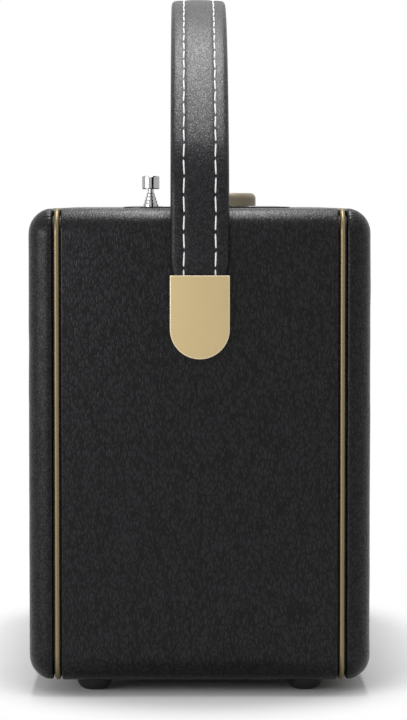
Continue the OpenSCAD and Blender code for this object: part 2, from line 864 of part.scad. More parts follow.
module battery_cells() {
    color("#6f7278") for (sx = [0, 1], sz = [-1, 1])
        translate([(sx - 1) * cell_l + (sx - 0.5) * cell_gap, cell_y, door_mid + sz * cell_up])
            rotate([0, 90, 0]) {
                cylinder(d = cell_d, h = cell_l - nub_l);
                cylinder(d = nub_d, h = cell_l);
            }
}

module battery_contacts() {
    color("#c9c9cc") for (sx = [-1, 1], sz = [-1, 1])
        translate([sx * bay_w / 2, cell_y, door_mid + sz * cell_up]) rotate([0, -sx * 90, 0]) {
            translate([-contact_w / 2, -contact_w / 2, 0]) cube([contact_w, contact_w, contact_t]);
            cylinder(d = contact_d, h = contact_t + contact_reach);
        }
}

module battery_door() {
    color("#1b1b1d") difference() {
        union() {
            translate([-door_w / 2, rear_out - door_t, hinge_z])
                cube([door_w, door_t, door_h - door_t / 2]);
            translate([0, hinge_y, hinge_z]) rotate([0, 90, 0])
                cylinder(d = door_t - 0.1, h = door_w, center = true);
            translate([0, hinge_y, hinge_z]) rotate([0, 90, 0])
                cylinder(d = hinge_d, h = door_w + 2 * hinge_l, center = true);
        }
        translate([0, rear_out - notch_t, door_low + door_h]) rotate([-90, 0, 0])
            cylinder(d = notch_d, h = notch_t + 1);
    }
}

// Socket body behind the rear panel with a neck that fills its hole
module socket_body(z) {
    translate([-socket_x, frame_back - socket_l / 2, z_bot + z])
        cube([socket_w, socket_l, socket_w], center = true);
    turned_y(-socket_x, frame_back - 1, z_bot + z) cylinder(d = socket_neck_d, h = rear_t + 1);
}

module ear_socket() {
    color("#2b2b2d") difference() {
        socket_body(ear_z);
        turned_y(-socket_x, bore_y, z_bot + ear_z) cylinder(d = ear_bore, h = bore_l + 1);
    }
}

module charge_socket() {
    color("#2b2b2d") difference() {
        socket_body(charge_z);
        turned_y(-socket_x, bore_y, z_bot + charge_z) difference() {
            cylinder(d = charge_bore, h = bore_l + 1);
            cylinder(d = charge_pin, h = bore_l - charge_pin_in);
        }
    }
}

module board_corners() {
    for (sy = [-1, 1], sz = [-1, 1])
        translate([0, sy * (board_l / 2 - standoff_in), board_mid_z + sz * (board_h / 2 - standoff_in)])
            rotate([0, 90, 0]) children();
}

module main_board() {
    color("#2d5a3a") difference() {
        translate([board_x - board_t, -board_l / 2, z_bot + board_z]) cube([board_t, board_l, board_h]);
        translate([board_x - board_t - 1, 0, 0]) board_corners() cylinder(d = screw_d, h = board_t + 2);
    }
}

module board_standoffs() {
    color("#c2b27a") translate([board_x, 0, 0]) board_corners() cylinder(d = standoff_d, h = standoff_l);
}

module board_parts() {
    face = board_x - board_t;
    color("#33363b") translate([face, 0, board_mid_z]) {
        for (sy = [-1, 1]) translate([0, sy * board_l / 5, -board_h / 4]) rotate([0, -90, 0])
            cylinder(d = cap_can_d, h = cap_can_h);
        translate([-chip_h, -chip_w / 2, -chip_w / 4]) cube([chip_h, chip_w, chip_w]);
        translate([-tuner_h, -tuner_w / 2, board_h / 2 - tuner_w * 0.85])
            cube([tuner_h, tuner_w, tuner_w * 0.7]);
    }
}

// Holes in the control panel that the moving pieces pass through
module panel_holes() {
    for (s = [-1, 1]) translate([s * knob_x, knob_y, panel_under - 1])
        cylinder(d = shaft_d + 2 * hole_fit, h = panel_sink + panel_proud + 2);
    for (k = [-1 : 1]) translate([k * button_pitch, button_y, panel_under - 1])
        cylinder(d = button_d + 2 * button_fit, h = panel_sink + panel_proud + 2);
    translate([-antenna_x, antenna_y, panel_under - 1])
        cylinder(r = tube_r(base_k) + screw_fit, h = panel_sink + panel_proud + 2);
}

module control_panel() {
    color("#1b1b1d") difference() {
        union() {
            translate([0, panel_y, z_top]) linear_extrude(panel_proud)
                rounded_rect(panel_w, panel_d, panel_r);
            translate([0, panel_y, panel_under]) linear_extrude(panel_sink)
                rounded_rect(cut_w, cut_d, cut_r);
            for (s = [-1, 1]) translate([s * knob_x, knob_y, panel_under])
                cylinder(d = knob_seat_d, h = panel_sink + panel_proud + knob_seat_h);
            for (p = boss_points) translate([p[0], p[1], chassis_z])
                cylinder(d = boss_d, h = panel_under - chassis_z + 0.5);
            dial_skirt();
            for (s = [-1, 1])
                translate([s * hanger_x - hanger_t / 2, rail_y - hanger_w / 2, rail_z - rail_d])
                    cube([hanger_t, hanger_w, panel_under - rail_z + rail_d + 0.5]);
            for (s = [-1, 1]) translate([s * button_pitch / 2, button_y, switch_board_z])
                cylinder(d = switch_post_d, h = panel_under - switch_board_z + 0.5);
        }
        translate([0, window_y, panel_under - 1]) linear_extrude(panel_sink + panel_proud + 2)
            square([window_w, window_d], center = true);
        translate([0, window_y, lens_z]) linear_extrude(lens_t + 1)
            square([rebate_w, rebate_d], center = true);
        panel_holes();
        translate([0, rail_y, rail_z]) rotate([0, 90, 0])
            cylinder(d = rail_d + 2 * screw_fit, h = 2 * hanger_x + hanger_t + 2, center = true);
        for (p = boss_points) translate([p[0], p[1], chassis_z]) screw_hole(0);
    }
}

// Walls on three sides of the window that carry the dial plate
module dial_skirt() {
    x = rebate_w / 2;
    y0 = window_y - rebate_d / 2;
    for (s = [-1, 1]) translate([s > 0 ? x : -x - skirt_t, y0 - skirt_t, dial_z])
        cube([skirt_t, rebate_d + skirt_t, dial_drop + 0.5]);
    translate([-x - skirt_t, y0 - skirt_t, dial_z])
        cube([rebate_w + 2 * skirt_t, skirt_t, dial_drop + 0.5]);
}

module dial_plate() {
    y0 = window_y - rebate_d / 2;
    color("#d9cfae") translate([-rebate_w / 2 - skirt_t, y0 - skirt_t, dial_z - dial_t])
        cube([rebate_w + 2 * skirt_t, rebate_d + skirt_t, dial_t]);
}

module dial_lens() {
    color("#c8d0d4") translate([0, window_y, lens_z]) linear_extrude(lens_t)
        square([rebate_w - 2 * lens_fit, rebate_d - 2 * lens_fit], center = true);
}

module dial_pointer() {
    arm_y = rail_y - carriage_d / 2;
    needle_z = dial_z + needle_lift;
    tip_y = window_y - window_d / 2;
    color("#b5482f") difference() {
        union() {
            translate([-carriage_l / 2, rail_y - carriage_d / 2, rail_z - carriage_d / 2])
                cube([carriage_l, carriage_d, carriage_d]);
            translate([-needle_w, arm_y, rail_z]) cube([2 * needle_w, dial_t, needle_z - rail_z + dial_t]);
            translate([-needle_w / 2, tip_y, needle_z]) cube([needle_w, arm_y - tip_y + dial_t, dial_t]);
        }
        translate([0, rail_y, rail_z]) rotate([0, 90, 0])
            cylinder(d = rail_d + 2 * rail_clear, h = carriage_l + 2, center = true);
    }
}

module pointer_rail() {
    color("#b8b8ba") translate([0, rail_y, rail_z]) rotate([0, 90, 0])
        cylinder(d = rail_d, h = 2 * hanger_x + hanger_t, center = true);
}

module control_chassis() {
    rise = z_top - wall - chassis_z;
    color("#9a9ca0") difference() {
        translate([0, panel_y, chassis_z - chassis_t]) union() {
            translate([-chassis_w / 2, -chassis_d / 2, 0]) cube([chassis_w, chassis_d, chassis_t]);
            for (s = [0, 1]) mirror([s, 0, 0])
                translate([chassis_w / 2 - chassis_t, -chassis_d / 2, 0])
                    cube([chassis_t, chassis_d, rise + chassis_t]);
        }
        translate([knob_x, knob_y, chassis_z - chassis_t - 1])
            cylinder(d = shaft_d + 2 * hole_fit, h = chassis_t + 2);
        translate([-knob_x, knob_y, chassis_z - chassis_t - 1])
            cylinder(d = pot_neck_d + 2 * screw_fit, h = chassis_t + 2);
        translate([-antenna_x, antenna_y, chassis_z - chassis_t - 1])
            cylinder(r = tube_r(base_k) + hole_fit, h = chassis_t + 2);
        for (p = boss_points) translate([p[0], p[1], chassis_z - chassis_t]) screw_hole(chassis_t);
    }
}

module chassis_screws() {
    color("#8c8c8c") for (p = boss_points) translate([p[0], p[1], chassis_z - chassis_t]) screw(chassis_t);
}

// Turned section of a grooved head, centred on the cord's level
module groove_section() {
    core = cord_run_r - cord_d / 2 - cord_clear;
    rim = cord_run_r + cord_flange;
    slot = cord_d / 2 + cord_clear;
    translate([0, -cord_head]) square([core, 2 * cord_head]);
    translate([0, slot]) square([rim, cord_head - slot]);
    translate([0, -cord_head]) square([rim, cord_head - slot]);
}

module cord_posts() {
    color("#c8a860") for (p = [[knob_x, post_y], [-post_x, post_y], [-post_x, knob_y]])
        translate([p[0], p[1], chassis_z]) {
            cylinder(r = cord_run_r - cord_d, h = cord_lift);
            translate([0, 0, cord_lift]) rotate_extrude() groove_section();
        }
}

module dial_cord() {
    color("#d8d2c0")
        translate([(knob_x - post_x) / 2, (knob_y + post_y) / 2, cord_z]) rotate([90, 0, 0])
            ring(knob_x + post_x + 2 * cord_run_r, post_y - knob_y + 2 * cord_run_r, cord_run_r)
                circle(d = cord_d);
}

module tuning_gang() {
    color("#a8aaae") translate([knob_x, knob_y, chassis_z - chassis_t]) difference() {
        translate([-gang_w / 2, -gang_w / 2, -gang_h]) cube([gang_w, gang_w, gang_h]);
        translate([0, 0, -shaft_in - hole_fit]) cylinder(d = shaft_d + 2 * shaft_clear, h = shaft_in + 1);
    }
}

module tuning_shaft() {
    low = chassis_z - chassis_t - shaft_in;
    color("#c0c0c4") translate([knob_x, knob_y, 0]) {
        translate([0, 0, low]) cylinder(d = shaft_d, h = shaft_top - low);
        translate([0, 0, cord_z]) rotate_extrude() groove_section();
    }
}

module volume_pot() {
    color("#a8aaae") translate([-knob_x, knob_y, chassis_z - chassis_t]) difference() {
        union() {
            translate([0, 0, -pot_h]) cylinder(d = pot_d, h = pot_h);
            cylinder(d = pot_neck_d, h = chassis_t + pot_neck_h);
        }
        translate([0, 0, -shaft_in - hole_fit])
            cylinder(d = shaft_d + 2 * shaft_clear, h = shaft_in + pot_neck_h + chassis_t + 1);
    }
}

module volume_shaft() {
    low = chassis_z - chassis_t - shaft_in;
    color("#c0c0c4") translate([-knob_x, knob_y, low]) cylinder(d = shaft_d, h = shaft_top - low);
}

// Low turned knob with a rounded top edge and a blind bore
module knob() {
    r = knob_d / 2;
    color("#b7a67c") difference() {
        rotate_extrude() {
            square([r - knob_edge_r, knob_h]);
            square([r, knob_h - knob_edge_r]);
            intersection() {
                translate([r - knob_edge_r, knob_h - knob_edge_r]) circle(knob_edge_r);
                square([r, knob_h]);
            }
        }
        translate([0, 0, -1]) cylinder(d = shaft_d, h = shaft_grip + 1);
    }
}

module tuning_knob() {
    translate([knob_x, knob_y, knob_z]) knob();
}

module volume_knob() {
    translate([-knob_x, knob_y, knob_z]) knob();
}

module switch_board() {
    l = 2 * button_pitch + 2 * switch_w;
    color("#2d5a3a") translate([-l / 2, button_y - switch_board_d / 2, switch_board_z - board_t])
        cube([l, switch_board_d, board_t]);
}

module switch_bodies() {
    color("#303236") for (k = [-1 : 1]) translate([k * button_pitch, button_y, switch_board_z]) {
        translate([-switch_w / 2, -switch_w / 2, 0]) cube([switch_w, switch_w, switch_h * 0.75]);
        cylinder(d = switch_w / 2, h = switch_h);
    }
}

// Push button with the flange that holds it under the panel
module band_button(k) {
    color("#b7a67c") translate([k * button_pitch, button_y, 0]) {
        translate([0, 0, flange_low]) cylinder(d = button_d, h = panel_z + button_h - flange_low);
        translate([0, 0, flange_low]) cylinder(d = button_d + 2 * button_flange, h = button_flange_t);
    }
}

// Outside radius of antenna section k, counted from the rod
function tube_r(k) = rod_d / 2 + k * tube_pitch;
// Level of the upper end of antenna section k
function tube_top(k) = panel_z + (base_k - k) * tube_step;

// Antenna tube whose end is rounded in like a quarter of an ellipse
module antenna_tube(k, foot) {
    o = tube_r(k);
    i = o - tube_wall;
    rounded_end = [
        for (a = [0 : 15 : 90]) [i + tube_wall * cos(a), tube_top(k) - tube_round * (1 - sin(a))]
    ];
    color("#c8cacd") translate([-antenna_x, antenna_y, 0]) rotate_extrude()
        polygon(concat([[i, foot], [o, foot]], rounded_end));
}

module antenna_base() {
    antenna_tube(base_k, antenna_z);
    color("#c8cacd") translate([-antenna_x, antenna_y, antenna_z]) cylinder(r = tube_r(base_k), h = plug_t);
}

module antenna_tube_1() {
    antenna_tube(4, tube_foot_z);
}

module antenna_tube_2() {
    antenna_tube(3, tube_foot_z);
}

module antenna_tube_3() {
    antenna_tube(2, tube_foot_z);
}

module antenna_tube_4() {
    antenna_tube(1, tube_foot_z);
}

module antenna_rod() {
    r = tip_d / 2;
    e = tube_wall;
    color("#d2d4d7") translate([-antenna_x, antenna_y, 0]) {
        translate([0, 0, tube_foot_z]) cylinder(d = rod_d, h = tip_z - tube_foot_z + 1);
        rotate_extrude() polygon([
            [0, tip_z], [r - e, tip_z], [r, tip_z + e], [r, tip_z + tip_l - e], [r - e, tip_z + tip_l],
            [0, tip_z + tip_l]
        ]);
    }
}

module antenna_clamp() {
    z = z_top - clamp_drop;
    l = wall_in - antenna_x;
    color("#9a9ca0") difference() {
        union() {
            translate([-wall_in, antenna_y - clamp_w / 2, z]) cube([l, clamp_w, clamp_t]);
            translate([-antenna_x, antenna_y, z]) cylinder(d = clamp_w, h = clamp_t);
        }
        translate([-antenna_x, antenna_y, z - 1]) cylinder(r = tube_r(base_k) + screw_fit, h = clamp_t + 2);
    }
}

// Strap section: thickness along x, width along y, drawn in by a small seam step
module strap_section(seam) {
    rounded_rect(strap_t - 2 * seam, strap_w - 2 * seam, strap_edge_r);
}

// Each length of the strap enters the one above it by the lap
module handle_strap() {
    low = pivot_z + cap_top + cap_fit;
    lap = strap_lap / shoulder_r * 180 / PI;
    end_t = strap_t - 2 * cap_fit - 2 * strap_seam;
    color("#1f1f21") {
        translate([0, 0, arch_z]) rotate([90, 0, 0]) rotate([0, 0, 90 - arch_a])
            rotate_extrude(angle = 2 * arch_a) translate([arch_r, 0]) strap_section(0);
        for (s = [0, 1]) mirror([s, 0, 0]) {
            translate([shoulder_x, 0, spring_z]) rotate([90, 0, 0])
                rotate_extrude(angle = 90 - arch_a + lap) translate([shoulder_r, 0])
                    strap_section(strap_seam);
            translate([strap_x, 0, low]) linear_extrude(spring_z - low + strap_lap)
                strap_section(2 * strap_seam);
            difference() {
                translate([0, 0, pivot_z]) along_x(strap_in + cap_fit + strap_seam, end_t)
                    cap_outline(cap_pocket_w - 2 * cap_fit, cap_top + cap_fit + strap_lap);
                translate([strap_in - 1, 0, pivot_z]) rotate([0, 90, 0])
                    cylinder(d = stud_d + 2 * cap_fit, h = strap_t + 2);
            }
        }
    }
}

module handle_caps() {
    stud_l = strap_in + strap_t - nut_x + nut_t;
    color("#c4ad7c") for (s = [0, 1]) mirror([s, 0, 0]) translate([0, 0, pivot_z]) {
        difference() {
            along_x(strap_in, strap_t + cap_plate_t) cap_outline(cap_w, cap_top);
            along_x(strap_in - 1, strap_t + 1) cap_outline(cap_pocket_w, cap_top + 1);
        }
        translate([nut_x - nut_t, 0, 0]) rotate([0, 90, 0])
            cylinder(d = stud_d, h = stud_l + cap_plate_t / 2);
    }
}

module pivot_bushes() {
    color("#a98f55") for (s = [0, 1]) mirror([s, 0, 0]) translate([wall_in - bush_flange_t, 0, pivot_z])
        rotate([0, 90, 0]) difference() {
            union() {
                cylinder(d = bush_flange_d, h = bush_flange_t);
                cylinder(d = bush_d, h = bush_flange_t + wall);
            }
            translate([0, 0, -1]) cylinder(d = stud_d + 2 * stud_clear, h = bush_flange_t + wall + 2);
        }
}

module pivot_nuts() {
    color("#a9abae") for (s = [0, 1]) mirror([s, 0, 0]) translate([nut_x - nut_t, 0, pivot_z])
        rotate([0, 90, 0]) linear_extrude(nut_t) difference() {
            circle(d = nut_w / cos(30), $fn = 6);
            circle(d = stud_d);
        }
}

carcass();
leather_wrap();
front_frame();
rear_frame();
front_bead();
rear_bead();
feet();
front_baffle();
baffle_screws();
grille_board();
grille_cloth();
speaker_basket();
speaker_surround();
speaker_cone();
speaker_dust_cap();
speaker_magnet();
speaker_screws();
rear_battens();
rear_panel();
rear_screws();
battery_tray();
battery_cells();
battery_contacts();
battery_door();
ear_socket();
charge_socket();
main_board();
board_parts();
board_standoffs();
control_panel();
dial_plate();
dial_lens();
dial_pointer();
pointer_rail();
control_chassis();
chassis_screws();
cord_posts();
dial_cord();
tuning_gang();
tuning_shaft();
tuning_knob();
volume_pot();
volume_shaft();
volume_knob();
switch_board();
switch_bodies();
band_button(-1);  // band_button_1
band_button(0);  // band_button_2
band_button(1);  // band_button_3
antenna_base();
antenna_clamp();
antenna_tube_1();
antenna_tube_2();
antenna_tube_3();
antenna_tube_4();
antenna_rod();
handle_strap();
handle_caps();
pivot_bushes();
pivot_nuts();
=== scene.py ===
# %% [markdown]
# # A leather portable radio
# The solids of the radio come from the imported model. This lesson dresses them: it remakes the soft
# pieces (leather cover, padded frames, strap, grille cloth), gives every solid a finish, and sets the
# camera and the light. The frame comes first, because every size and place below is read from it.

# %% Load the frame
from math import atan2, cos, exp, hypot, pi, radians, sin

import bmesh
import bpy
from mathutils import Matrix, Vector


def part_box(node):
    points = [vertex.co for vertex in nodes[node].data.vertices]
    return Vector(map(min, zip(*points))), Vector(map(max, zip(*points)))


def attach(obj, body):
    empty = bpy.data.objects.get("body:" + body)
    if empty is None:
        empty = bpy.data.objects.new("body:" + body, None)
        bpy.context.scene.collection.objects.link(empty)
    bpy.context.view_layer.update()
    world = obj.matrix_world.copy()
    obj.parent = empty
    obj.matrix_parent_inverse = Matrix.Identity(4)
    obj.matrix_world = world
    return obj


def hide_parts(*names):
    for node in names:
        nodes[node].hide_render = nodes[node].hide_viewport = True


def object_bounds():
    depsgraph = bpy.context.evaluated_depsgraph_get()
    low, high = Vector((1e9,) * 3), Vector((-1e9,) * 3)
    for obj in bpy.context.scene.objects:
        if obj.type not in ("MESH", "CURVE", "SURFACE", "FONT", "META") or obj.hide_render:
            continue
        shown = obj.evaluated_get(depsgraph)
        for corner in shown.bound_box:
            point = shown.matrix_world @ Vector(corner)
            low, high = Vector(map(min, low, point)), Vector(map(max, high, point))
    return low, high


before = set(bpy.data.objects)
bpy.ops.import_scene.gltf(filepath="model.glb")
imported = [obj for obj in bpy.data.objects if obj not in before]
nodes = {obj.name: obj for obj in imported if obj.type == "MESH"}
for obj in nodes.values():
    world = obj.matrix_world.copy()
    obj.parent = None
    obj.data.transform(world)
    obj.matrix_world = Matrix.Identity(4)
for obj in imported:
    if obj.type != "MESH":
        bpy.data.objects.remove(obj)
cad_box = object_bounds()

MM = 0.001
scene = bpy.context.scene
scene.view_settings.view_transform = "Standard"


def rounded(box):
    """The two corners of a box, short enough to print."""
    return [tuple(round(c, 4) for c in corner) for corner in box]


print("loaded", len(nodes), "solids; box", rounded(cad_box))

# %% [markdown]
# ## Camera
# The photograph looks square at one end of the radio, from a little over a metre, at the height of the
# top. The strap narrows only a little towards the far side, which asks for a long lens. A camera can be
# nudged by eye; here its place, tilt and lens are numbers that were fitted to points of the photograph.
# It is set first, so that every later step can be judged through it.

# %% Camera
CAMERA_AWAY = 1.1583  # metres in front of the end face
CAMERA_ASIDE = 0.0057
CAMERA_HEIGHT = 0.1950
CAMERA_DOWN = 3.059  # degrees
CAMERA_TURN = 0.354  # degrees
LENS = 148.02

end_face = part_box("leather_wrap")[0].x
camera = bpy.data.objects.new("camera", bpy.data.cameras.new("camera"))
scene.collection.objects.link(camera)
camera.data.lens = LENS
camera.location = (end_face - CAMERA_AWAY, CAMERA_ASIDE, CAMERA_HEIGHT)
camera.rotation_euler = (radians(90 - CAMERA_DOWN), 0, radians(-90 - CAMERA_TURN))
camera.data.clip_end = 50
scene.camera = camera
print("camera at", tuple(round(c, 3) for c in camera.location))

# %% [markdown]
# ## Working by hand in code
# These short helpers do what a hand does in the viewport: drop the selection, pick vertices, edges or
# faces by their place, apply a modifier, and hand a finished piece to the body that it moves with. Each
# could be written out where it is used, but then the shape would be lost among the clicks.

# %% Helpers for picking
def drop_selection():
    """Leaves object mode with nothing selected."""
    if bpy.context.mode != "OBJECT":
        bpy.ops.object.mode_set(mode="OBJECT")
    bpy.ops.object.select_all(action="DESELECT")


def activate(piece):
    """Makes this piece the only selected and active one."""
    drop_selection()
    piece.select_set(True)
    bpy.context.view_layer.objects.active = piece


def open_piece(piece):
    """Opens this piece alone in edit mode."""
    activate(piece)
    bpy.ops.object.mode_set(mode="EDIT")


def begin(name):
    """Names the primitive that was just added, puts its place in its mesh and opens edit mode."""
    piece = bpy.context.active_object
    piece.name = name
    piece.data.name = name
    bpy.ops.object.transform_apply(location=True, rotation=True, scale=True)
    bpy.ops.object.mode_set(mode="EDIT")
    return piece


def pick_all():
    bpy.ops.mesh.select_all(action="SELECT")


def pick(kind, test):
    """Selects the vertices, edges or faces whose middle passes the test."""
    bpy.ops.mesh.select_mode(type=kind)
    bpy.ops.mesh.select_all(action="DESELECT")
    data = bpy.context.edit_object.data
    mesh = bmesh.from_edit_mesh(data)
    parts = {"VERT": mesh.verts, "EDGE": mesh.edges, "FACE": mesh.faces}[kind]
    for part in parts:
        corners = [part] if kind == "VERT" else part.verts
        middle = sum((corner.co for corner in corners), Vector()) / len(corners)
        if test(middle, part):
            part.select_set(True)
    mesh.select_flush_mode()
    bmesh.update_edit_mesh(data)


def selected_middle():
    """Middle of the vertices that are selected in edit mode."""
    mesh = bmesh.from_edit_mesh(bpy.context.edit_object.data)
    chosen = [v.co for v in mesh.verts if v.select]
    return sum(chosen, Vector()) / len(chosen)


drop_selection()
print("picking helpers ready")


# %% Helpers for shaping
def move(x=0.0, y=0.0, z=0.0):
    """Moves what is selected."""
    bpy.ops.transform.translate(value=(x, y, z))


def pull(x=0.0, y=0.0, z=0.0):
    """Extrudes what is selected and moves it."""
    bpy.ops.mesh.extrude_region_move(TRANSFORM_OT_translate={"value": (x, y, z)})


def round_edges(radius, segments):
    """Rounds the selected edges."""
    bpy.ops.mesh.bevel(offset=radius, segments=segments, affect="EDGES")


def close_mesh():
    """Merges doubles and turns the faces outwards."""
    pick_all()
    bpy.ops.mesh.remove_doubles(threshold=0.01 * MM)
    bpy.ops.mesh.normals_make_consistent(inside=False)


def apply(piece, kind, **settings):
    """Adds a modifier with these settings and applies it."""
    activate(piece)
    modifier = piece.modifiers.new(kind.lower(), kind)
    for key, value in settings.items():
        setattr(modifier, key, value)
    bpy.ops.object.modifier_apply(modifier=modifier.name)


def smooth(piece, angle=40):
    """Shades the piece smooth, with a crease where faces meet at more than this angle in degrees."""
    activate(piece)
    bpy.ops.object.shade_smooth_by_angle(angle=radians(angle))


def seat(piece, body, slot, finish, *stands_for):
    """Gives a piece its finish and body, and the solids that it stands for."""
    drop_selection()
    piece.data.materials.clear()
    piece.data.materials.append(finish)
    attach(piece, body)
    if stands_for:
        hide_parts(*stands_for)
    print(piece.name, len(piece.data.polygons), "faces, on", body)


print("shaping helpers ready")

# %% [markdown]
# ## Shader maths
# A finish is a small graph of nodes. It could be wired node by node, but wrapping a socket in a class lets
# it be written as sums and products, so that a pattern reads like the formula that it is. One method
# makes every other node.

# %% A socket in an expression
class Value:
    """A socket that can stand in a Python expression."""

    def __init__(self, paint, socket):
        self.paint = paint
        self.socket = socket

    def math(self, operation, first, second=0.0):
        return self.paint.node("ShaderNodeMath", {"operation": operation}, {0: first, 1: second})

    def __add__(self, other):
        return self.math("ADD", self, other)

    def __sub__(self, other):
        return self.math("SUBTRACT", self, other)

    def __rsub__(self, other):
        return self.math("SUBTRACT", other, self)

    def __mul__(self, other):
        return self.math("MULTIPLY", self, other)

    def __truediv__(self, other):
        return self.math("DIVIDE", self, other)

    def __pow__(self, other):
        return self.math("POWER", self, other)

    def __lt__(self, other):
        return self.math("LESS_THAN", self, other)

    def __gt__(self, other):
        return self.math("GREATER_THAN", self, other)

    __radd__ = __add__
    __rmul__ = __mul__

    def remainder(self):
        return self.math("FRACT", self)

    def size(self):
        return self.math("ABSOLUTE", self)

    def sine(self):
        return self.math("SINE", self)

    def at_most(self, other):
        return self.math("MINIMUM", self, other)

    def at_least(self, other):
        return self.math("MAXIMUM", self, other)


print("sockets can be added and multiplied")


# %% A graph of nodes
class Graph:
    """The nodes of a material or of the world."""

    def __init__(self, tree):
        self.tree = tree

    def node(self, kind, settings=None, sockets=None, out=0):
        """Makes a node and returns the output that is named, or a list of them."""
        made = self.tree.nodes.new(kind)
        for key, value in (settings or {}).items():
            setattr(made, key, value)
        for key, value in (sockets or {}).items():
            self.plug(made.inputs[key], value)
        if isinstance(out, tuple):
            return [Value(self, made.outputs[k]) for k in out]
        return Value(self, made.outputs[out])

    def plug(self, socket, value):
        if isinstance(value, Value):
            self.tree.links.new(value.socket, socket)
        elif socket.type == "RGBA":
            socket.default_value = (*value, 1.0)[:4]
        else:
            socket.default_value = value

    def axes(self, vector):
        """The three numbers of a vector."""
        return self.node("ShaderNodeSeparateXYZ", {}, {0: vector}, (0, 1, 2))

    def ground_rays(self):
        """A mask that is 1 for rays from the camera, a mirror or glass, which see the white ground."""
        seen, mirrored, through = self.node(
            "ShaderNodeLightPath", out=("Is Camera Ray", "Is Glossy Ray", "Is Transmission Ray"))
        return (seen + mirrored + through).at_most(1.0)

    def blend(self, factor, first, second):
        """A number between two numbers."""
        return self.node("ShaderNodeMix", {"data_type": "FLOAT"}, {0: factor, 2: first, 3: second})

    def ramp(self, value, low, high, first=0.0, last=1.0):
        """Value from low to high, spread over first to last and held at both ends."""
        settings = {"interpolation_type": "SMOOTHSTEP"}
        return self.node("ShaderNodeMapRange", settings, {0: value, 1: low, 2: high, 3: first, 4: last})


print("graphs can be written")


# %% A material
class Paint(Graph):
    """A material and its graph."""

    def __init__(self, name, **constants):
        self.material = bpy.data.materials.new(name)
        self.material.use_nodes = True
        super().__init__(self.material.node_tree)
        self.shader = self.tree.nodes["Principled BSDF"]
        for key, value in constants.items():
            self.feed(key.replace("_", " "), value)

    def feed(self, name, value):
        self.plug(self.shader.inputs[name], value)

    def place(self, stretch=(1, 1, 1), centre=(0, 0, 0)):
        """The point on the object, moved to a centre and stretched."""
        point = self.node("ShaderNodeTexCoord", out="Object")
        moved = self.node("ShaderNodeVectorMath", {"operation": "SUBTRACT"}, {0: point, 1: centre})
        return self.node("ShaderNodeVectorMath", {"operation": "MULTIPLY"}, {0: moved, 1: stretch})

    def noise(self, vector, scale, detail=2.0):
        return self.node("ShaderNodeTexNoise", {}, {"Vector": vector, "Scale": scale, "Detail": detail})

    def cells(self, vector, scale):
        """Distance to the edge of the nearest cell."""
        settings = {"feature": "DISTANCE_TO_EDGE"}
        return self.node("ShaderNodeTexVoronoi", settings, {"Vector": vector, "Scale": scale}, "Distance")

    def mix(self, factor, first, second):
        """A colour between two colours."""
        return self.node("ShaderNodeMix", {"data_type": "RGBA"}, {0: factor, 6: first, 7: second}, 2)

    def bump(self, height, depth, strength=1.0):
        sockets = {"Height": height, "Distance": depth, "Strength": strength}
        self.feed("Normal", self.node("ShaderNodeBump", {}, sockets))


def shade(tone, share):
    """A colour made darker or lighter by this share."""
    return [share * c for c in tone]


print("finishes can be written")

# %% [markdown]
# ## Leather
# The cover is black grained leather: pebbles about a millimetre across, longer upright than across, and a
# soft sheen. A flat black with a bump would look like plastic, because on hide the sheen lies on the
# pebbles.
# So cells with their distance to the edge give the pebbles, a slow noise bends them so that no row shows,
# the coat is strong on the pebbles and weak between them, and the valleys between the pebbles are painted
# nearly black as painted shade. The strap is the same hide, with a rounder grain and more sheen.

# %% Leather finish
HIDE_TINT = (0.92, 0.94, 1.0)
PEBBLE_BEND = 1.1
PEBBLE_SLOPE = 0.42
CREASE_W = 0.07
# painted shade: how dark the valleys between the pebbles are painted
PAINTED_VALLEY_SHADE = 0.08
WORN_SHADE = 1.25


def leather(name, tone, grain, stretch, depth, gloss, shine, gather=None):
    """Hide with this many pebbles to the metre; shine is the strength of the sheen on them."""
    paint = Paint(name, Specular_IOR_Level=0.4 * shine, Coat_Roughness=gloss + 0.04,
                  Specular_Tint=HIDE_TINT)
    point = paint.place(stretch)
    slow = {"Vector": point, "Scale": grain * 0.45, "Detail": 1.0}
    drift = paint.node("ShaderNodeTexNoise", {}, slow, "Color")
    bending = {0: drift, 1: [PEBBLE_BEND / grain] * 3, 2: point}
    bent = paint.node("ShaderNodeVectorMath", {"operation": "MULTIPLY_ADD"}, bending)
    pebble = paint.ramp(paint.cells(bent, grain), 0.0, PEBBLE_SLOPE)
    crease = paint.ramp((paint.noise(bent, grain * 0.35) - 0.5).size(), 0.0, CREASE_W)
    raised = pebble * crease
    pores = paint.noise(point, grain * 3.2)
    cloud = paint.noise(point, 24)
    height = pebble * 0.7 + crease * 0.4 + pores * 0.25
    if gather:
        height = height + gather(paint)
    hide = paint.mix(paint.ramp(cloud, 0.35, 0.7), tone, shade(tone, WORN_SHADE))
    # Painted shade: the base colour is painted nearly black in the valleys between the pebbles.
    paint.feed("Base Color", paint.mix(raised, shade(tone, PAINTED_VALLEY_SHADE), hide))
    paint.feed("Roughness", (gloss + 0.06) - pebble * 0.08 + cloud * 0.08)
    paint.feed("Coat Weight", paint.ramp(raised, 0.0, 0.25, 0.6 * shine, 1.4 * shine))
    paint.bump(height, depth)
    return paint.material


COVER_TONE = (0.0026, 0.0026, 0.0046)
STRAP_TONE = (0.0038, 0.0039, 0.0066)
cover_leather = leather("cover_leather", COVER_TONE, grain=980, stretch=(1, 1, 0.34),
                        depth=0.11 * MM, gloss=0.27, shine=0.29)
strap_leather = leather("strap_leather", STRAP_TONE, grain=1000, stretch=(0.8, 1, 0.7),
                        depth=0.15 * MM, gloss=0.33, shine=0.345)
print("leather:", cover_leather.name, strap_leather.name)

# %% [markdown]
# ## Leather cover of the cabinet
# The cover is one hide wrapped round four boards with rounded edges. It could be a bent sheet, but a block
# with its long edges rounded and its front and back taken off is the same sleeve in fewer steps; a wall
# thickness and a small roll at each rim finish it. The opening for the control panel and the holes of the
# handle's pivots are cut through it.

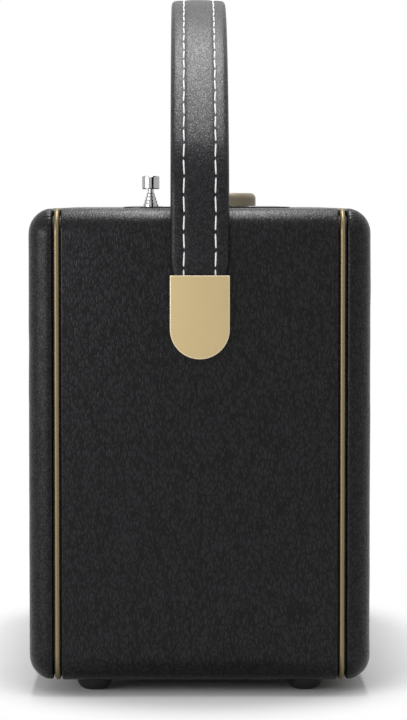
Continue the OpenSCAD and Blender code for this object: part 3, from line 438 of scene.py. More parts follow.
# %% Model the cover
COVER_T = 1.2 * MM
CORNER_R = 10.5 * MM
RIM_ROLL = 0.7 * MM
cover_low, cover_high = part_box("leather_wrap")
cover_mid = (cover_low + cover_high) / 2
cover_size = cover_high - cover_low

bpy.ops.mesh.primitive_cube_add(size=1, location=cover_mid, scale=cover_size)
cover = begin("leather_cover")
pick("EDGE", lambda c, e: abs(e.verts[0].co.y - e.verts[1].co.y) > MM)
round_edges(CORNER_R, 10)
pick("FACE", lambda c, f: abs(f.normal.y) > 0.9)
bpy.ops.mesh.delete(type="FACE")
drop_selection()
apply(cover, "SOLIDIFY", thickness=COVER_T, offset=-1)
open_piece(cover)


def on_outer_rim(c, e):
    """True for the rim edges that lie on the sleeve's outside."""
    at_rim = abs(abs(c.y) - cover_size.y / 2) < 0.1 * MM
    off = [max(0.0, abs(v.co.x) - cover_size.x / 2 + CORNER_R) for v in e.verts]
    rise = [max(0.0, abs(v.co.z - cover_mid.z) - cover_size.z / 2 + CORNER_R) for v in e.verts]
    return at_rim and all(hypot(a, b) > CORNER_R - 0.3 * MM for a, b in zip(off, rise))


pick("EDGE", on_outer_rim)
round_edges(RIM_ROLL, 3)
drop_selection()
print("cover sleeve", len(cover.data.polygons), "faces")

# %% Cut the openings of the cover
PANEL_LIP = 4.0 * MM
PANEL_ROOM = 0.4 * MM
PANEL_CORNER_R = 5 * MM
PIVOT_HOLE_R = 5.1 * MM
CUT_DEPTH = 10 * MM


def cut(piece, cutter):
    """Takes the cutter's shape out of the piece and throws the cutter away."""
    apply(piece, "BOOLEAN", object=cutter, operation="DIFFERENCE", solver="EXACT")
    bpy.data.objects.remove(cutter)


panel_low, panel_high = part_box("control_panel")
panel_mid = (panel_low + panel_high) / 2
opening = panel_high - panel_low - Vector((2, 2, 0)) * (PANEL_LIP - PANEL_ROOM)
drop_selection()
bpy.ops.mesh.primitive_cube_add(
    size=1, location=(0, panel_mid.y, cover_high.z), scale=(opening.x, opening.y, CUT_DEPTH))
opening_cutter = begin("opening_cutter")
pick("EDGE", lambda c, e: abs(e.verts[0].co.z - e.verts[1].co.z) > MM)
round_edges(PANEL_CORNER_R, 6)
drop_selection()
cut(cover, opening_cutter)

bush_low, bush_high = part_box("pivot_bushes")
pivot_z = (bush_low.z + bush_high.z) / 2
bpy.ops.mesh.primitive_cylinder_add(
    vertices=40, radius=PIVOT_HOLE_R, depth=2 * cover_high.x + 4 * MM,
    location=(0, 0, pivot_z), rotation=(0, pi / 2, 0))
pivot_cutter = begin("pivot_cutter")
drop_selection()
cut(cover, pivot_cutter)
smooth(cover)
seat(cover, "cabinet", "leather", cover_leather, "leather_wrap")

# %% [markdown]
# ## Padded frames
# The front and rear frames are boards under foam and leather, so their outer edge is a full soft round and
# the hide is gathered in small pleats where it goes round the corners. A cloth simulation could gather it,
# but the pleats are few and their place is known. So each frame starts as a copy of its solid, is remeshed
# into an even skin, relaxed, swollen a little by a cloud texture, and pleated next to the bead.

# %% Finish of the padded frames
PAD_TONE = (0.0018, 0.0019, 0.0036)
WRINKLES = 40
WRINKLE_SLANT = 1600
WRINKLE_W = 5.5 * MM
CORNER_SOFT = 3 * MM
corner_x = cover_size.x / 2 - CORNER_R
corner_z = cover_size.z / 2 - CORNER_R
pad_back = min(abs(c.y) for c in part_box("rear_frame"))


def gathered(paint):
    """Height of the fine wrinkles beside the bead, which fan out round the four corners."""
    x, y, z = paint.axes(paint.place(centre=(0, 0, cover_mid.z)))
    out_x = x.size() - corner_x
    out_z = z.size() - corner_z
    turn = out_z.math("ARCTAN2", out_z, out_x)
    stray = paint.noise(paint.place(), 260)
    wave = (turn * WRINKLES + y * WRINKLE_SLANT + stray * 10.0).sine()
    past_x = paint.ramp(out_x, -CORNER_SOFT, CORNER_SOFT)
    past_z = paint.ramp(out_z, -CORNER_SOFT, CORNER_SOFT)
    near_bead = paint.ramp(y.size(), pad_back + 0.6 * MM, pad_back + WRINKLE_W, 1.0, 0.0)
    return wave * (past_x * past_z) * near_bead * 0.8


pad_leather = leather("pad_leather", PAD_TONE, grain=1000, stretch=(1, 1, 0.6), depth=0.08 * MM,
                      gloss=0.29, shine=0.28, gather=gathered)
print("pads:", pad_leather.name)

# %% Model the padded frames
PAD_GRID = 0.8 * MM
PLEATS = 9
PLEAT_DEPTH = 0.22 * MM
PLEAT_PAST = 5 * MM
SWELL = 0.28 * MM
swell = bpy.data.textures.new("pad_swell", "CLOUDS")
swell.noise_scale = 16 * MM
swell.noise_depth = 1


def pleat(pad, back, thick):
    """Draws the skin in along lines that run over each rounded corner, deepest beside the bead."""
    for v in pad.data.vertices:
        out_x = abs(v.co.x) - corner_x
        out_z = abs(v.co.z - cover_mid.z) - corner_z
        reach = hypot(out_x, out_z)
        if min(out_x, out_z) < -PLEAT_PAST or reach < 0.55 * CORNER_R:
            continue
        turn = atan2(max(out_z, -PLEAT_PAST), max(out_x, -PLEAT_PAST)) / (pi / 2)
        near = max(0.0, 1 - (abs(v.co.y) - back) / thick)
        edge = exp(-((turn - 0.5) / 0.55) ** 2)
        wave = 0.5 - 0.5 * cos(2 * pi * (PLEATS * turn + 0.35 * sin(5 * turn)))
        draw = PLEAT_DEPTH * edge * near ** 1.2 * wave
        v.co.x -= draw * out_x / reach * (1 if v.co.x > 0 else -1)
        v.co.z -= draw * out_z / reach * (1 if v.co.z > cover_mid.z else -1)


def padded_frame(node):
    drop_selection()
    pad = bpy.data.objects.new(node + "_pad", nodes[node].data.copy())
    scene.collection.objects.link(pad)
    open_piece(pad)
    close_mesh()
    drop_selection()
    apply(pad, "REMESH", mode="VOXEL", voxel_size=PAD_GRID, use_smooth_shade=True)
    apply(pad, "SMOOTH", factor=0.5, iterations=5)
    apply(pad, "DISPLACE", texture=swell, texture_coords="LOCAL", strength=SWELL, mid_level=0.5)
    low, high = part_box(node)
    pleat(pad, min(abs(low.y), abs(high.y)), high.y - low.y)
    seat(pad, "cabinet", "leather", pad_leather, node)


padded_frame("front_frame")
padded_frame("rear_frame")

# %% [markdown]
# ## Handle strap
# The handle is two leather strips over a core, sewn along both sides. Seen from the end it is a flat band
# with a raised middle between two sewn channels. A curve with a bevel could carry the section too, but the
# strap is only arcs and a straight. So the section is drawn once at the crown, spun along the wide arch,
# spun round the shoulder, and pulled down into the cap; the other half is its mirror image.

# %% Sizes of the strap
STRAP_W = 23.0 * MM
STRAP_T = 5.0 * MM
STRAP_ROUND = 1.7 * MM
SHOULDER_R = 43.5 * MM
SHOULDER_DROP = 1.3 * MM
CAP_RISE = 21 * MM
SEW_Y = 6.2 * MM
CHANNEL = 0.22 * MM
CHANNEL_W = 0.75 * MM
CROWN = 0.25 * MM
EDGE_FALL = 0.5 * MM
INNER_SHARE = 0.6

strap_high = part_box("handle_strap")[1]
cap_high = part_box("handle_caps")[1]
strap_x = strap_high.x - STRAP_T / 2
spring_z = cover_high.z - SHOULDER_DROP
shoulder_x = strap_x - SHOULDER_R
rise = strap_high.z - STRAP_T / 2 - spring_z
arch_r = (shoulder_x ** 2 + rise ** 2 - SHOULDER_R ** 2) / (2 * (rise - SHOULDER_R))
arch_z = spring_z + rise - arch_r
arch_a = atan2(shoulder_x, arch_r - rise)
cap_top_z = pivot_z + CAP_RISE
print("arch radius", round(arch_r, 4), "half angle", round(arch_a, 4))


def face_lift(y):
    """How far the strap's face stands above its plain section at this place across it."""
    channel = exp(-((abs(y) - SEW_Y) / CHANNEL_W) ** 2)
    crown = max(0.0, 1 - (y / SEW_Y) ** 2)
    slope = max(0.0, (abs(y) - SEW_Y) / (STRAP_W / 2 - SEW_Y))
    return CROWN * crown - CHANNEL * channel - EDGE_FALL * slope ** 2


# %% Model the strap
SECTION_CUTS = 36
ARCH_STEPS = 44
SHOULDER_STEPS = 14
LEG_STEPS = 6
TAIL = 16 * MM
TAIL_SHRINK = 0.9

bpy.ops.mesh.primitive_plane_add(size=1, location=(0, 0, arch_z + arch_r), rotation=(0, pi / 2, 0))
bpy.context.active_object.scale = (STRAP_T, STRAP_W, 1)
strap = begin("strap")
pick_all()
bpy.ops.mesh.bevel(offset=STRAP_ROUND, segments=4, affect="VERTICES")
pick_all()
bpy.ops.mesh.delete(type="ONLY_FACE")
pick("EDGE", lambda c, e: abs(c.y) < MM and abs(e.verts[0].co.y - e.verts[1].co.y) > 10 * MM)
bpy.ops.mesh.subdivide(number_cuts=SECTION_CUTS)
section = bmesh.from_edit_mesh(strap.data)
for v in section.verts:
    above = v.co.z > arch_z + arch_r
    v.co.z += face_lift(v.co.y) * (1 if above else -INNER_SHARE)
bmesh.update_edit_mesh(strap.data)
pick_all()
bpy.ops.mesh.spin(steps=ARCH_STEPS, angle=-arch_a, center=(0, 0, arch_z), axis=(0, 1, 0))
print("end of the arch", [round(c, 4) for c in selected_middle()])
bpy.ops.mesh.spin(
    steps=SHOULDER_STEPS, angle=arch_a - pi / 2, center=(shoulder_x, 0, spring_z), axis=(0, 1, 0))
for step in range(LEG_STEPS):
    pull(z=(cap_top_z - spring_z) / LEG_STEPS)
print("end of the strap", [round(c, 4) for c in selected_middle()])
bpy.ops.transform.resize(value=(TAIL_SHRINK, TAIL_SHRINK, 1), center_override=(strap_x, 0, cap_top_z))
pull(z=-TAIL)
bpy.ops.mesh.edge_face_add()
drop_selection()
apply(strap, "MIRROR", merge_threshold=0.02 * MM)
open_piece(strap)
close_mesh()
drop_selection()
smooth(strap, 60)
seat(strap, "handle", "leather", strap_leather, "handle_strap")

# %% [markdown]
# ## Stitches
# White thread shows as short bars that dive into the hide at both ends, along both sides and on both faces
# of the strap. An array along a curve would bend every bar, while real stitches are straight. So one stitch
# is modelled and copied along the strap; a function gives the point and the direction at any length from
# the crown.

# %% Thread finish
thread_paint = Paint("white_thread", Roughness=0.7, Specular_IOR_Level=0.3)
thread_fuzz = thread_paint.noise(thread_paint.place(), 2600)
thread_paint.feed("Base Color", thread_paint.mix(thread_fuzz, (0.74, 0.74, 0.73), (0.95, 0.95, 0.94)))
thread_paint.bump(thread_fuzz, 0.1 * MM)
white_thread = thread_paint.material
print("thread:", white_thread.name)

# %% Model one stitch
STITCH_PITCH = 7.08 * MM
STITCH_L = 6.3 * MM
STITCH_LEAN = radians(2.5)
STITCH_DIVE = 0.36 * MM
STITCH_SAG = 0.02 * MM
THREAD_R = 0.31 * MM
THREAD_END = 0.7

drop_selection()
bpy.ops.mesh.primitive_cylinder_add(vertices=8, radius=THREAD_R, depth=STITCH_L, end_fill_type="NGON")
stitch = begin("stitch")
pick("EDGE", lambda c, e: abs(e.verts[0].co.z - e.verts[1].co.z) > MM)
bpy.ops.mesh.subdivide(number_cuts=5)
for side in (-1, 1):
    pick("VERT", lambda c, v: c.z * side > STITCH_L * 0.45)
    bpy.ops.transform.resize(value=(THREAD_END, THREAD_END, 1), center_override=(0, 0, 0))
    move(x=-STITCH_DIVE)
    pick("VERT", lambda c, v: STITCH_L * 0.25 < c.z * side < STITCH_L * 0.45)
    move(x=-STITCH_SAG)
drop_selection()
smooth(stitch, 70)
print("one stitch", len(stitch.data.polygons), "faces")

# %% Sew the strap
HALF_ROW = 29
THREAD_SEAT = 0.06 * MM


def along_strap(length):
    """Point on the strap's middle line and its outward normal, at this length from the crown."""
    side = 1 if length >= 0 else -1
    left = abs(length)
    arch_l = arch_r * arch_a
    shoulder_l = SHOULDER_R * (pi / 2 - arch_a)
    if left <= arch_l:
        turn = left / arch_r
        point = Vector((arch_r * sin(turn), 0, arch_z + arch_r * cos(turn)))
    elif left <= arch_l + shoulder_l:
        turn = arch_a + (left - arch_l) / SHOULDER_R
        point = Vector((shoulder_x + SHOULDER_R * sin(turn), 0, spring_z + SHOULDER_R * cos(turn)))
    else:
        turn = pi / 2
        point = Vector((strap_x, 0, spring_z - (left - arch_l - shoulder_l)))
    return Vector((side * point.x, 0, point.z)), Vector((side * sin(turn), 0, cos(turn)))


stitches = []
for k in range(-HALF_ROW, HALF_ROW):
    point, out = along_strap((k + 0.5) * STITCH_PITCH)
    run = Vector((out.z, 0, -out.x))
    for y in (-SEW_Y, SEW_Y):
        for face in (1, -1):
            copy = bpy.data.objects.new("stitch_copy", stitch.data.copy())
            scene.collection.objects.link(copy)
            lift = STRAP_T / 2 - (CHANNEL if face > 0 else INNER_SHARE * CHANNEL) + THREAD_SEAT
            spot = Matrix.Translation(point + out * face * lift + Vector((0, y, 0)))
            turned = Matrix((out * face, Vector((0, 1, 0)), run * face)).transposed().to_4x4()
            lean = Matrix.Rotation(STITCH_LEAN * (-1) ** k, 4, "X")
            copy.matrix_world = spot @ (turned @ lean)
            stitches.append(copy)
drop_selection()
for copy in stitches:
    copy.select_set(True)
bpy.context.view_layer.objects.active = stitches[0]
bpy.ops.object.join()
sewing = bpy.context.active_object
sewing.name = "strap_stitches"
bpy.ops.object.transform_apply(location=True, rotation=True, scale=True)
bpy.data.objects.remove(stitch)
seat(sewing, "handle", "leather", white_thread)

# %% [markdown]
# ## Brass
# The beads, the caps and the knobs have a satin, slightly greenish gold. One even metal would look like
# plating on plastic, so the gloss changes a little from place to place. The knobs are turned, so their
# gloss runs in fine rings. The bead is the round rim of a strip whose web is clamped between the cover and
# the frame, where no light reaches; the web is painted black there as painted shade, so that it does not
# shine through the joint.

# %% Brass finishes
BEAD_TONE = (0.218, 0.172, 0.096)
POST_TONE = (0.60, 0.48, 0.26)
# painted shade: the colour of the strip's web inside the shaded joint
WEB_PAINTED_SHADE = (0.006, 0.006, 0.006)
WEB_R = CORNER_R - 2.3 * MM
BEAD_R = CORNER_R - 1.5 * MM


def brass(name, tone, gloss, ring_centre=None, metallic=1.0):
    paint = Paint(name, Metallic=metallic, Specular_IOR_Level=0.2)
    cloud = paint.noise(paint.place(), 40, detail=3.0)
    if ring_centre:
        x, y, z = paint.axes(paint.place(centre=ring_centre))
        rings = {"W": (x * x + y * y) ** 0.5, "Scale": 2200, "Detail": 2.0}
        grain = paint.node("ShaderNodeTexNoise", {"noise_dimensions": "1D"}, rings)
    else:
        grain = paint.noise(paint.place((1, 1, 0.05)), 1800)
    paint.feed("Base Color", paint.mix(paint.ramp(cloud, 0.3, 0.7), shade(tone, 0.93), tone))
    paint.feed("Roughness", grain * 0.12 + cloud * 0.08 + (gloss - 0.10))
    paint.bump(grain, 0.02 * MM, strength=0.4)
    return paint.material


def bead_strip(name, tone):
    """Brass on the round bead, and black painted shade on the strip's web."""
    paint = Paint(name)
    x, y, z = paint.axes(paint.place(centre=(0, 0, cover_mid.z)))
    out_x = (x.size() - corner_x).at_least(0.0)
    out_z = (z.size() - corner_z).at_least(0.0)
    shown = paint.ramp((out_x * out_x + out_z * out_z) ** 0.5, WEB_R, BEAD_R)
    cloud = paint.noise(paint.place(), 40, detail=3.0)
    metal_tone = paint.mix(cloud, shade(tone, 0.9), tone)
    # Painted shade: the web below the bead is painted black, where the joint lies in shade.
    paint.feed("Base Color", paint.mix(shown, WEB_PAINTED_SHADE, metal_tone))
    paint.feed("Metallic", shown)
    paint.feed("Roughness", cloud * 0.10 - shown * 0.12 + 0.50)
    return paint.material


trim_brass_and_painted_shade = bead_strip("trim_brass_and_painted_shade", BEAD_TONE)
post_brass = brass("post_brass", POST_TONE, gloss=0.30)
print("brass:", trim_brass_and_painted_shade.name, post_brass.name)

# %% [markdown]
# ## Caps of the strap
# Each end of the strap sits in a brass cap: a plate with a straight upper edge and a round lower one, with
# thin walls that reach round the leather. It could be cut from a block; it is quicker to pull half a disc
# up into the plate's outline, give it its thickness, and pull its walls back from the plate. A fine bevel
# catches the light along the rim, and the finish is glossier there and has a lighter line painted on it as
# a painted highlight.

# %% Model the caps
CAP_W = 23.4 * MM
CAP_PLATE = 1.6 * MM
CAP_WALL = 0.9 * MM
CAP_BEVEL = 0.35 * MM
WALL_AREA = 1e-4  # square metres; the plate inside the walls is larger


def model_cap():
    drop_selection()
    bpy.ops.mesh.primitive_circle_add(
        vertices=64, radius=CAP_W / 2, fill_type="NGON",
        location=(cap_high.x - CAP_PLATE, 0, pivot_z), rotation=(0, pi / 2, 0))
    cap = begin("cap")
    pick_all()
    bpy.ops.mesh.bisect(plane_co=(0, 0, pivot_z), plane_no=(0, 0, 1), clear_outer=True)
    pick("EDGE", lambda c, e: all(abs(v.co.z - pivot_z) < 0.01 * MM for v in e.verts))
    pull(z=cap_top_z - pivot_z)
    pick_all()
    bpy.ops.mesh.dissolve_limited(angle_limit=radians(0.5))
    pick_all()
    pull(x=CAP_PLATE)
    close_mesh()
    pick("FACE", lambda c, f: f.normal.x < -0.9)
    bpy.ops.mesh.inset(thickness=CAP_WALL)
    pick("FACE", lambda c, f: f.normal.x < -0.9 and f.calc_area() < WALL_AREA
         and c.z < cap_top_z - CAP_WALL)
    pull(x=-STRAP_T)
    drop_selection()
    apply(cap, "BEVEL", width=CAP_BEVEL, segments=3, limit_method="ANGLE", angle_limit=radians(50))
    return cap


right_cap = model_cap()
right_cap.name = "right_cap"
print("cap", len(right_cap.data.polygons), "faces")

# %% Finish of the caps
CAP_TONE = (0.57, 0.444, 0.232)
# painted highlight: the lighter colour of the line along the cap's rim
CAP_RIM_HIGHLIGHT_TONE = (0.73, 0.612, 0.41)
RIM_FULL = 0.30 * MM
RIM_END = 0.52 * MM


def cap_finish(name, tone, rim_highlight_tone):
    """Satin brass with a narrow rim along the plate's outline, polished and painted lighter as a painted
    highlight.
    """
    paint = Paint(name, Metallic=0.2, Specular_IOR_Level=0.2)
    x, y, z = paint.axes(paint.place(centre=(0, 0, pivot_z)))
    below = z.at_most(0.0)
    side_gap = CAP_W / 2 - (y * y + below * below) ** 0.5
    top_gap = (cap_top_z - pivot_z) - z
    polished_highlight_rim = paint.ramp(side_gap.at_most(top_gap), RIM_FULL, RIM_END, 1.0, 0.0)
    cloud = paint.noise(paint.place(), 40, detail=3.0)
    grain = paint.noise(paint.place((1, 1, 0.05)), 1800)
    plate = paint.mix(paint.ramp(cloud, 0.3, 0.7), shade(tone, 0.97), tone)
    # Painted highlight: the rim's colour is painted lighter where the bevel catches the light; its lower
    # roughness is the polish.
    paint.feed("Base Color", paint.mix(polished_highlight_rim, plate, rim_highlight_tone))
    paint.feed("Roughness", grain * 0.08 - polished_highlight_rim * 0.15 + 0.44)
    return paint.material


cap_brass = cap_finish("cap_brass", CAP_TONE, CAP_RIM_HIGHLIGHT_TONE)
print("caps:", cap_brass.name)

# %% Set both caps on their studs
STUD_R = 3.0 * MM
STUD_PAST = 5 * MM
CAP_CREASE = 35


def with_stud(cap):
    """Adds the stud that turns in the cabinet's bush."""
    stud_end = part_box("pivot_nuts")[1].x - STUD_PAST
    length = cap_high.x - CAP_PLATE / 2 - stud_end
    drop_selection()
    bpy.ops.mesh.primitive_cylinder_add(
        vertices=32, radius=STUD_R, depth=length,
        location=(stud_end + length / 2, 0, pivot_z), rotation=(0, pi / 2, 0))
    stud = begin("stud")
    pick("FACE", lambda c, f: f.normal.x < -0.9)
    round_edges(0.5 * MM, 2)
    drop_selection()
    stud.select_set(True)
    cap.select_set(True)
    bpy.context.view_layer.objects.active = cap
    bpy.ops.object.join()
    smooth(cap, CAP_CREASE)


with_stud(right_cap)
left_cap = bpy.data.objects.new("left_cap", right_cap.data.copy())
scene.collection.objects.link(left_cap)
activate(left_cap)
left_cap.scale = (-1, 1, 1)
bpy.ops.object.transform_apply(location=True, rotation=True, scale=True)
bpy.ops.object.mode_set(mode="EDIT")
close_mesh()
drop_selection()
smooth(left_cap, CAP_CREASE)
seat(right_cap, "handle", "brass_trim", cap_brass, "handle_caps")
seat(left_cap, "handle", "brass_trim", cap_brass, "handle_caps")

# %% [markdown]
# ## Grille cloth
# The front is a board with a wide opening for the sound, covered by cloth that is folded over the board's
# edge. A thin block with rounded edges is that covered board; its face is inset once, so that the smooth
# shading of the rounded edge stays at the edge. Threads could be modelled one by one, but they cross some
# thirty thousand times, so the weave is in the finish: two sets of waves, over and under by turns.

# %% Cloth finish
THREAD_PITCH = 1.1 * MM
CLOTH_DARK = (0.010, 0.010, 0.010)
CLOTH_LIGHT = (0.085, 0.080, 0.072)
cloth_paint = Paint("grille_weave", Roughness=0.85, Specular_IOR_Level=0.2, Sheen_Weight=0.3)
across, inward, upward = cloth_paint.axes(cloth_paint.place([1 / THREAD_PITCH] * 3))
warp = (across * pi).sine().size()
weft = (upward * pi).sine().size()
column = (across * 0.5).remainder() > 0.5
row = (upward * 0.5).remainder() > 0.5
over = (column - row).size()
weave = over * warp + (1 - over) * weft
slub = cloth_paint.noise(cloth_paint.place((1, 1, 6)), 160)
cloth_paint.feed("Base Color", cloth_paint.mix(weave * slub, CLOTH_DARK, CLOTH_LIGHT))
cloth_paint.bump(weave, 0.25 * MM)
grille_weave = cloth_paint.material
print("cloth:", grille_weave.name)

# %% Model the cloth
CLOTH_CORNER_R = 1.5 * MM
CLOTH_EDGE_R = 0.5 * MM
cloth_low, cloth_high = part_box("grille_cloth")
cloth_size = cloth_high - cloth_low
drop_selection()
bpy.ops.mesh.primitive_cube_add(size=1, location=(cloth_low + cloth_high) / 2, scale=cloth_size)
cloth = begin("grille_cover")
pick("EDGE", lambda c, e: abs(e.verts[0].co.y - e.verts[1].co.y) > 0.1 * MM)
round_edges(CLOTH_CORNER_R, 4)
pick("FACE", lambda c, f: f.normal.y < -0.9)
round_edges(CLOTH_EDGE_R, 3)
pick("FACE", lambda c, f: f.normal.y < -0.999)
bpy.ops.mesh.inset(thickness=CLOTH_EDGE_R)
drop_selection()
smooth(cloth)
seat(cloth, "cabinet", "grille_fabric", grille_weave, "grille_cloth")

# %% [markdown]
# ## Finishes of the solids
# The other solids have their right shape already and need only a finish. Moulded plastic has a fine grain,
# sheet metal a brushed gloss, boards their fibres. Each could have a graph of its own, but most differ only
# in a few numbers. So each kind is a short function, and one list says which solid takes which.

# %% Plastic, rubber and paper
def plastic(name, tone, gloss, grain=1500, depth=0.05 * MM):
    paint = Paint(name, Specular_IOR_Level=0.4)
    point = paint.place()
    speck = paint.noise(point, grain)
    cloud = paint.noise(point, 30)
    paint.feed("Base Color", paint.mix(cloud, shade(tone, 0.85), shade(tone, 1.15)))
    paint.feed("Roughness", speck * 0.12 + (gloss - 0.06))
    paint.bump(speck, depth, strength=0.6)
    return paint.material


moulded_black = plastic("moulded_black", (0.016, 0.016, 0.017), gloss=0.48)
panel_black = plastic("panel_black", (0.012, 0.012, 0.013), gloss=0.30, grain=2600, depth=0.02 * MM)
board_black = plastic("board_black", (0.012, 0.012, 0.012), gloss=0.75)
foot_rubber = plastic("foot_rubber", (0.013, 0.013, 0.013), gloss=0.62, grain=900, depth=0.08 * MM)
cone_paper = plastic("cone_paper", (0.028, 0.027, 0.026), gloss=0.85, grain=1200, depth=0.12 * MM)
cell_wrap = plastic("cell_wrap", (0.11, 0.12, 0.14), gloss=0.25, grain=400, depth=0.01 * MM)
circuit_green = plastic("circuit_green", (0.02, 0.09, 0.045), gloss=0.40, grain=700, depth=0.03 * MM)
print("plastic finishes made")

# %% Metals
def metal(name, tone, gloss, brushed=(1, 1, 0.04), depth=0.015 * MM):
    paint = Paint(name, Metallic=1.0)
    grain = paint.noise(paint.place(brushed), 1600)
    cloud = paint.noise(paint.place(), 45, detail=3.0)
    paint.feed("Base Color", paint.mix(cloud, shade(tone, 0.9), tone))
    paint.feed("Roughness", grain * 0.10 + cloud * 0.06 + (gloss - 0.08))
    paint.bump(grain, depth, strength=0.4)
    return paint.material


chrome = metal("chrome", (0.40, 0.40, 0.40), gloss=0.12, brushed=(1, 1, 1), depth=0.004 * MM)
zinc_steel = metal("zinc_steel", (0.55, 0.56, 0.57), gloss=0.34)
dark_steel = metal("dark_steel", (0.06, 0.06, 0.063), gloss=0.45)
black_steel = metal("black_steel", (0.035, 0.035, 0.036), gloss=0.40)
alloy = metal("alloy", (0.60, 0.61, 0.62), gloss=0.32, brushed=(0.05, 1, 1))
print("metals made")

# %% Wood
def wood(name, light, dark):
    paint = Paint(name, Roughness=0.65, Specular_IOR_Level=0.3)
    fibre = paint.noise(paint.place((0.06, 1, 1)), 900, detail=4.0)
    ring = paint.noise(paint.place((0.1, 1, 1)), 60)
    paint.feed("Base Color", paint.mix(fibre * 0.5 + ring * 0.5, dark, light))
    paint.bump(fibre, 0.08 * MM, strength=0.6)
    return paint.material


board_wood = wood("board_wood", (0.46, 0.32, 0.18), (0.30, 0.19, 0.09))
print("wood made")

# %% [markdown]
# ## Dial
# The dial is a cream plate under a clear lens. Its scale is two rows of plain marks, short ones with a
# longer one at every fourth, and it has no lettering. The marks are ink, without height, so they are not
# modelled: they come from the remainder of the length along the plate.

# %% Dial finishes
MARK_PITCH = 2.5 * MM
SHORT_ROW_Y = 5.2 * MM
LONG_ROW_Y = 4.6 * MM
RULE_Y = 6.6 * MM
SCALE_HALF = 42.6 * MM
INK = (0.05, 0.04, 0.03)
dial_low, dial_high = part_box("dial_plate")
dial_mid = (dial_low + dial_high) / 2
dial_paint = Paint("dial_cream", Roughness=0.55, Specular_IOR_Level=0.3)
along, back, up = dial_paint.axes(dial_paint.place(centre=dial_mid))
fine = ((along / MARK_PITCH + 0.5).remainder() - 0.5).size() < 0.09
coarse = ((along / (4 * MARK_PITCH) + 0.5).remainder() - 0.5).size() < 0.035
short_row = ((back.size() - SHORT_ROW_Y).size() < 1.0 * MM) * fine
long_row = ((back.size() - LONG_ROW_Y).size() < 1.8 * MM) * coarse
rule = (back.size() - RULE_Y).size() < 0.2 * MM
marks = (short_row + long_row + rule).at_most(1.0) * (along.size() < SCALE_HALF)
fleck = dial_paint.noise(dial_paint.place(), 300, detail=3.0)
cream = dial_paint.mix(fleck, (0.64, 0.57, 0.42), (0.72, 0.65, 0.49))
dial_paint.feed("Base Color", dial_paint.mix(marks, cream, INK))
dial_paint.bump(fleck, 0.01 * MM, strength=0.3)

lens_paint = Paint("clear_lens", Transmission_Weight=1.0, IOR=1.45)
smear = lens_paint.noise(lens_paint.place(), 60)
lens_paint.feed("Base Color", lens_paint.mix(smear, (0.96, 0.97, 0.97), (1.0, 1.0, 1.0)))
lens_paint.feed("Roughness", smear * 0.03)

pointer_red = plastic("pointer_red", (0.45, 0.06, 0.03), gloss=0.35)
cord_thread = plastic("cord_thread", (0.60, 0.56, 0.46), gloss=0.80, grain=3000, depth=0.1 * MM)
print("dial finishes made")

# %% Finish every solid
KNOB_TONE = (0.285, 0.246, 0.175)


def turned_brass(node):
    """Brass with rings round this knob's or button's own middle."""
    low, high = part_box(node)
    return brass(node + "_brass", KNOB_TONE, gloss=0.46, ring_centre=(low + high) / 2, metallic=0.3)


finishes = {
    trim_brass_and_painted_shade: ["front_bead", "rear_bead"],
    post_brass: ["pivot_bushes", "cord_posts"],
    foot_rubber: ["feet", "speaker_surround"],
    board_black: ["grille_board"],
    cone_paper: ["speaker_cone", "speaker_dust_cap"],
    dark_steel: ["speaker_basket", "speaker_magnet"],
    black_steel: ["rear_screws"],
    moulded_black: ["rear_panel", "battery_tray", "battery_door", "ear_socket", "charge_socket",
                    "switch_bodies", "board_parts"],
    cell_wrap: ["battery_cells"],
    circuit_green: ["main_board", "switch_board"],
    panel_black: ["control_panel"],
    dial_paint.material: ["dial_plate"],
    lens_paint.material: ["dial_lens"],
    pointer_red: ["dial_pointer"],
    cord_thread: ["dial_cord"],
    alloy: ["tuning_gang", "volume_pot"],
    board_wood: ["carcass", "front_baffle", "rear_battens"],
    chrome: ["antenna_base", "antenna_tube_1", "antenna_tube_2", "antenna_tube_3", "antenna_tube_4",
             "antenna_rod"],
    zinc_steel: ["baffle_screws", "speaker_screws", "chassis_screws", "board_standoffs", "pivot_nuts",
                 "control_chassis", "tuning_shaft", "volume_shaft", "pointer_rail", "battery_contacts",
                 "antenna_clamp"],
}
for node in ("tuning_knob", "volume_knob", "band_button_1", "band_button_2", "band_button_3"):
    finishes[turned_brass(node)] = [node]
for finish, names in finishes.items():
    for name in names:
        nodes[name].data.materials.clear()
        nodes[name].data.materials.append(finish)
drop_selection()
left_plain = set(nodes) - {name for names in finishes.values() for name in names}
print("solids that other pieces stand for:", sorted(left_plain))

# %% [markdown]
# ## Light and floor
# The photograph has a white ground with a soft shadow under the radio. More light would whiten the ground,
# but would wash out the radio too. So a long lamp above, a wide one on the left and a pale room light the
# radio at a plain level, and only rays from the camera, a mirror or glass see the room as white. The floor
# keeps the shadow near the radio and fades into that white further out.

# %% Room light
ROOM_LEVEL = 0.46
WHITE = (1, 1, 1)
world = bpy.data.worlds.new("studio")
scene.world = world
world.use_nodes = True
world.node_tree.nodes.clear()
room = Graph(world.node_tree)
strength = room.blend(room.ground_rays(), ROOM_LEVEL, 1.0)
sky = room.node("ShaderNodeBackground", {}, {"Color": WHITE, "Strength": strength})
room.node("ShaderNodeOutputWorld", {}, {"Surface": sky}, ())
print("room light ready")


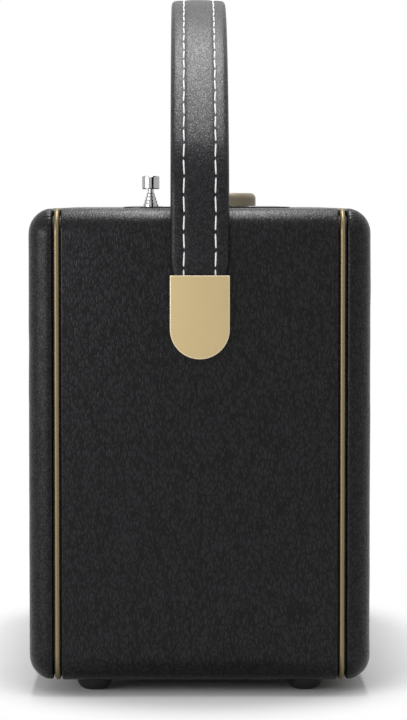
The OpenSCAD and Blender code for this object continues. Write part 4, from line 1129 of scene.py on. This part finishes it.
# %% Lamps
def lamp(name, place, target, width, height, watts):
    """A flat lamp that faces its target. Where it faces straight down, its width lies along X."""
    data = bpy.data.lights.new(name, "AREA")
    data.shape = "RECTANGLE"
    data.size = width
    data.size_y = height
    data.energy = watts
    made = bpy.data.objects.new(name, data)
    scene.collection.objects.link(made)
    made.location = place
    made.rotation_euler = (Vector(target) - Vector(place)).to_track_quat("-Z", "Y").to_euler()
    print("lamp", name, watts, "W")


radio_mid = (cad_box[0] + cad_box[1]) / 2
lamp("above", (0.22, 0.0, 1.35), (0.22, 0.0, 0.0), width=1.1, height=0.40, watts=15.7)
lamp("left", (-0.99, 1.14, 0.40), radio_mid, width=1.0, height=0.40, watts=10.0)

# %% Floor
FLOOR_SIZE = 6
FADE_FROM = 0.145
FADE_TO = 0.205
DEPTH_WEIGHT = 2.5  # the radio is wide and shallow, so the fade lies nearer in front and behind
floor_paint = Paint("floor", Roughness=0.9, Specular_IOR_Level=0.1)
floor_grain = floor_paint.noise(floor_paint.place(), 30)
floor_paint.feed("Base Color", floor_paint.mix(floor_grain, (0.88, 0.88, 0.88), (0.92, 0.92, 0.92)))
floor_x, floor_y, floor_z = floor_paint.axes(floor_paint.place())
away = (floor_x * floor_x + floor_y * floor_y * DEPTH_WEIGHT) ** 0.5
fade = floor_paint.ramp(away, FADE_FROM, FADE_TO) * floor_paint.ground_rays()
white = floor_paint.node("ShaderNodeEmission", {}, {"Color": WHITE, "Strength": 1.0})
surface = Value(floor_paint, floor_paint.shader.outputs[0])
blend = floor_paint.node("ShaderNodeMixShader", {}, {0: fade, 1: surface, 2: white})
floor_paint.plug(floor_paint.tree.nodes["Material Output"].inputs["Surface"], blend)

drop_selection()
bpy.ops.mesh.primitive_plane_add(size=FLOOR_SIZE)
floor = begin("floor")
pick_all()
bpy.ops.mesh.subdivide(number_cuts=4)
drop_selection()
floor.data.materials.append(floor_paint.material)
print("floor laid")

# %% [markdown]
# ## Sizes
# The box of the solids is printed at the end. The dressed radio must stay in the box of its solids.

# %% Write the sizes
print("solids", rounded(cad_box))
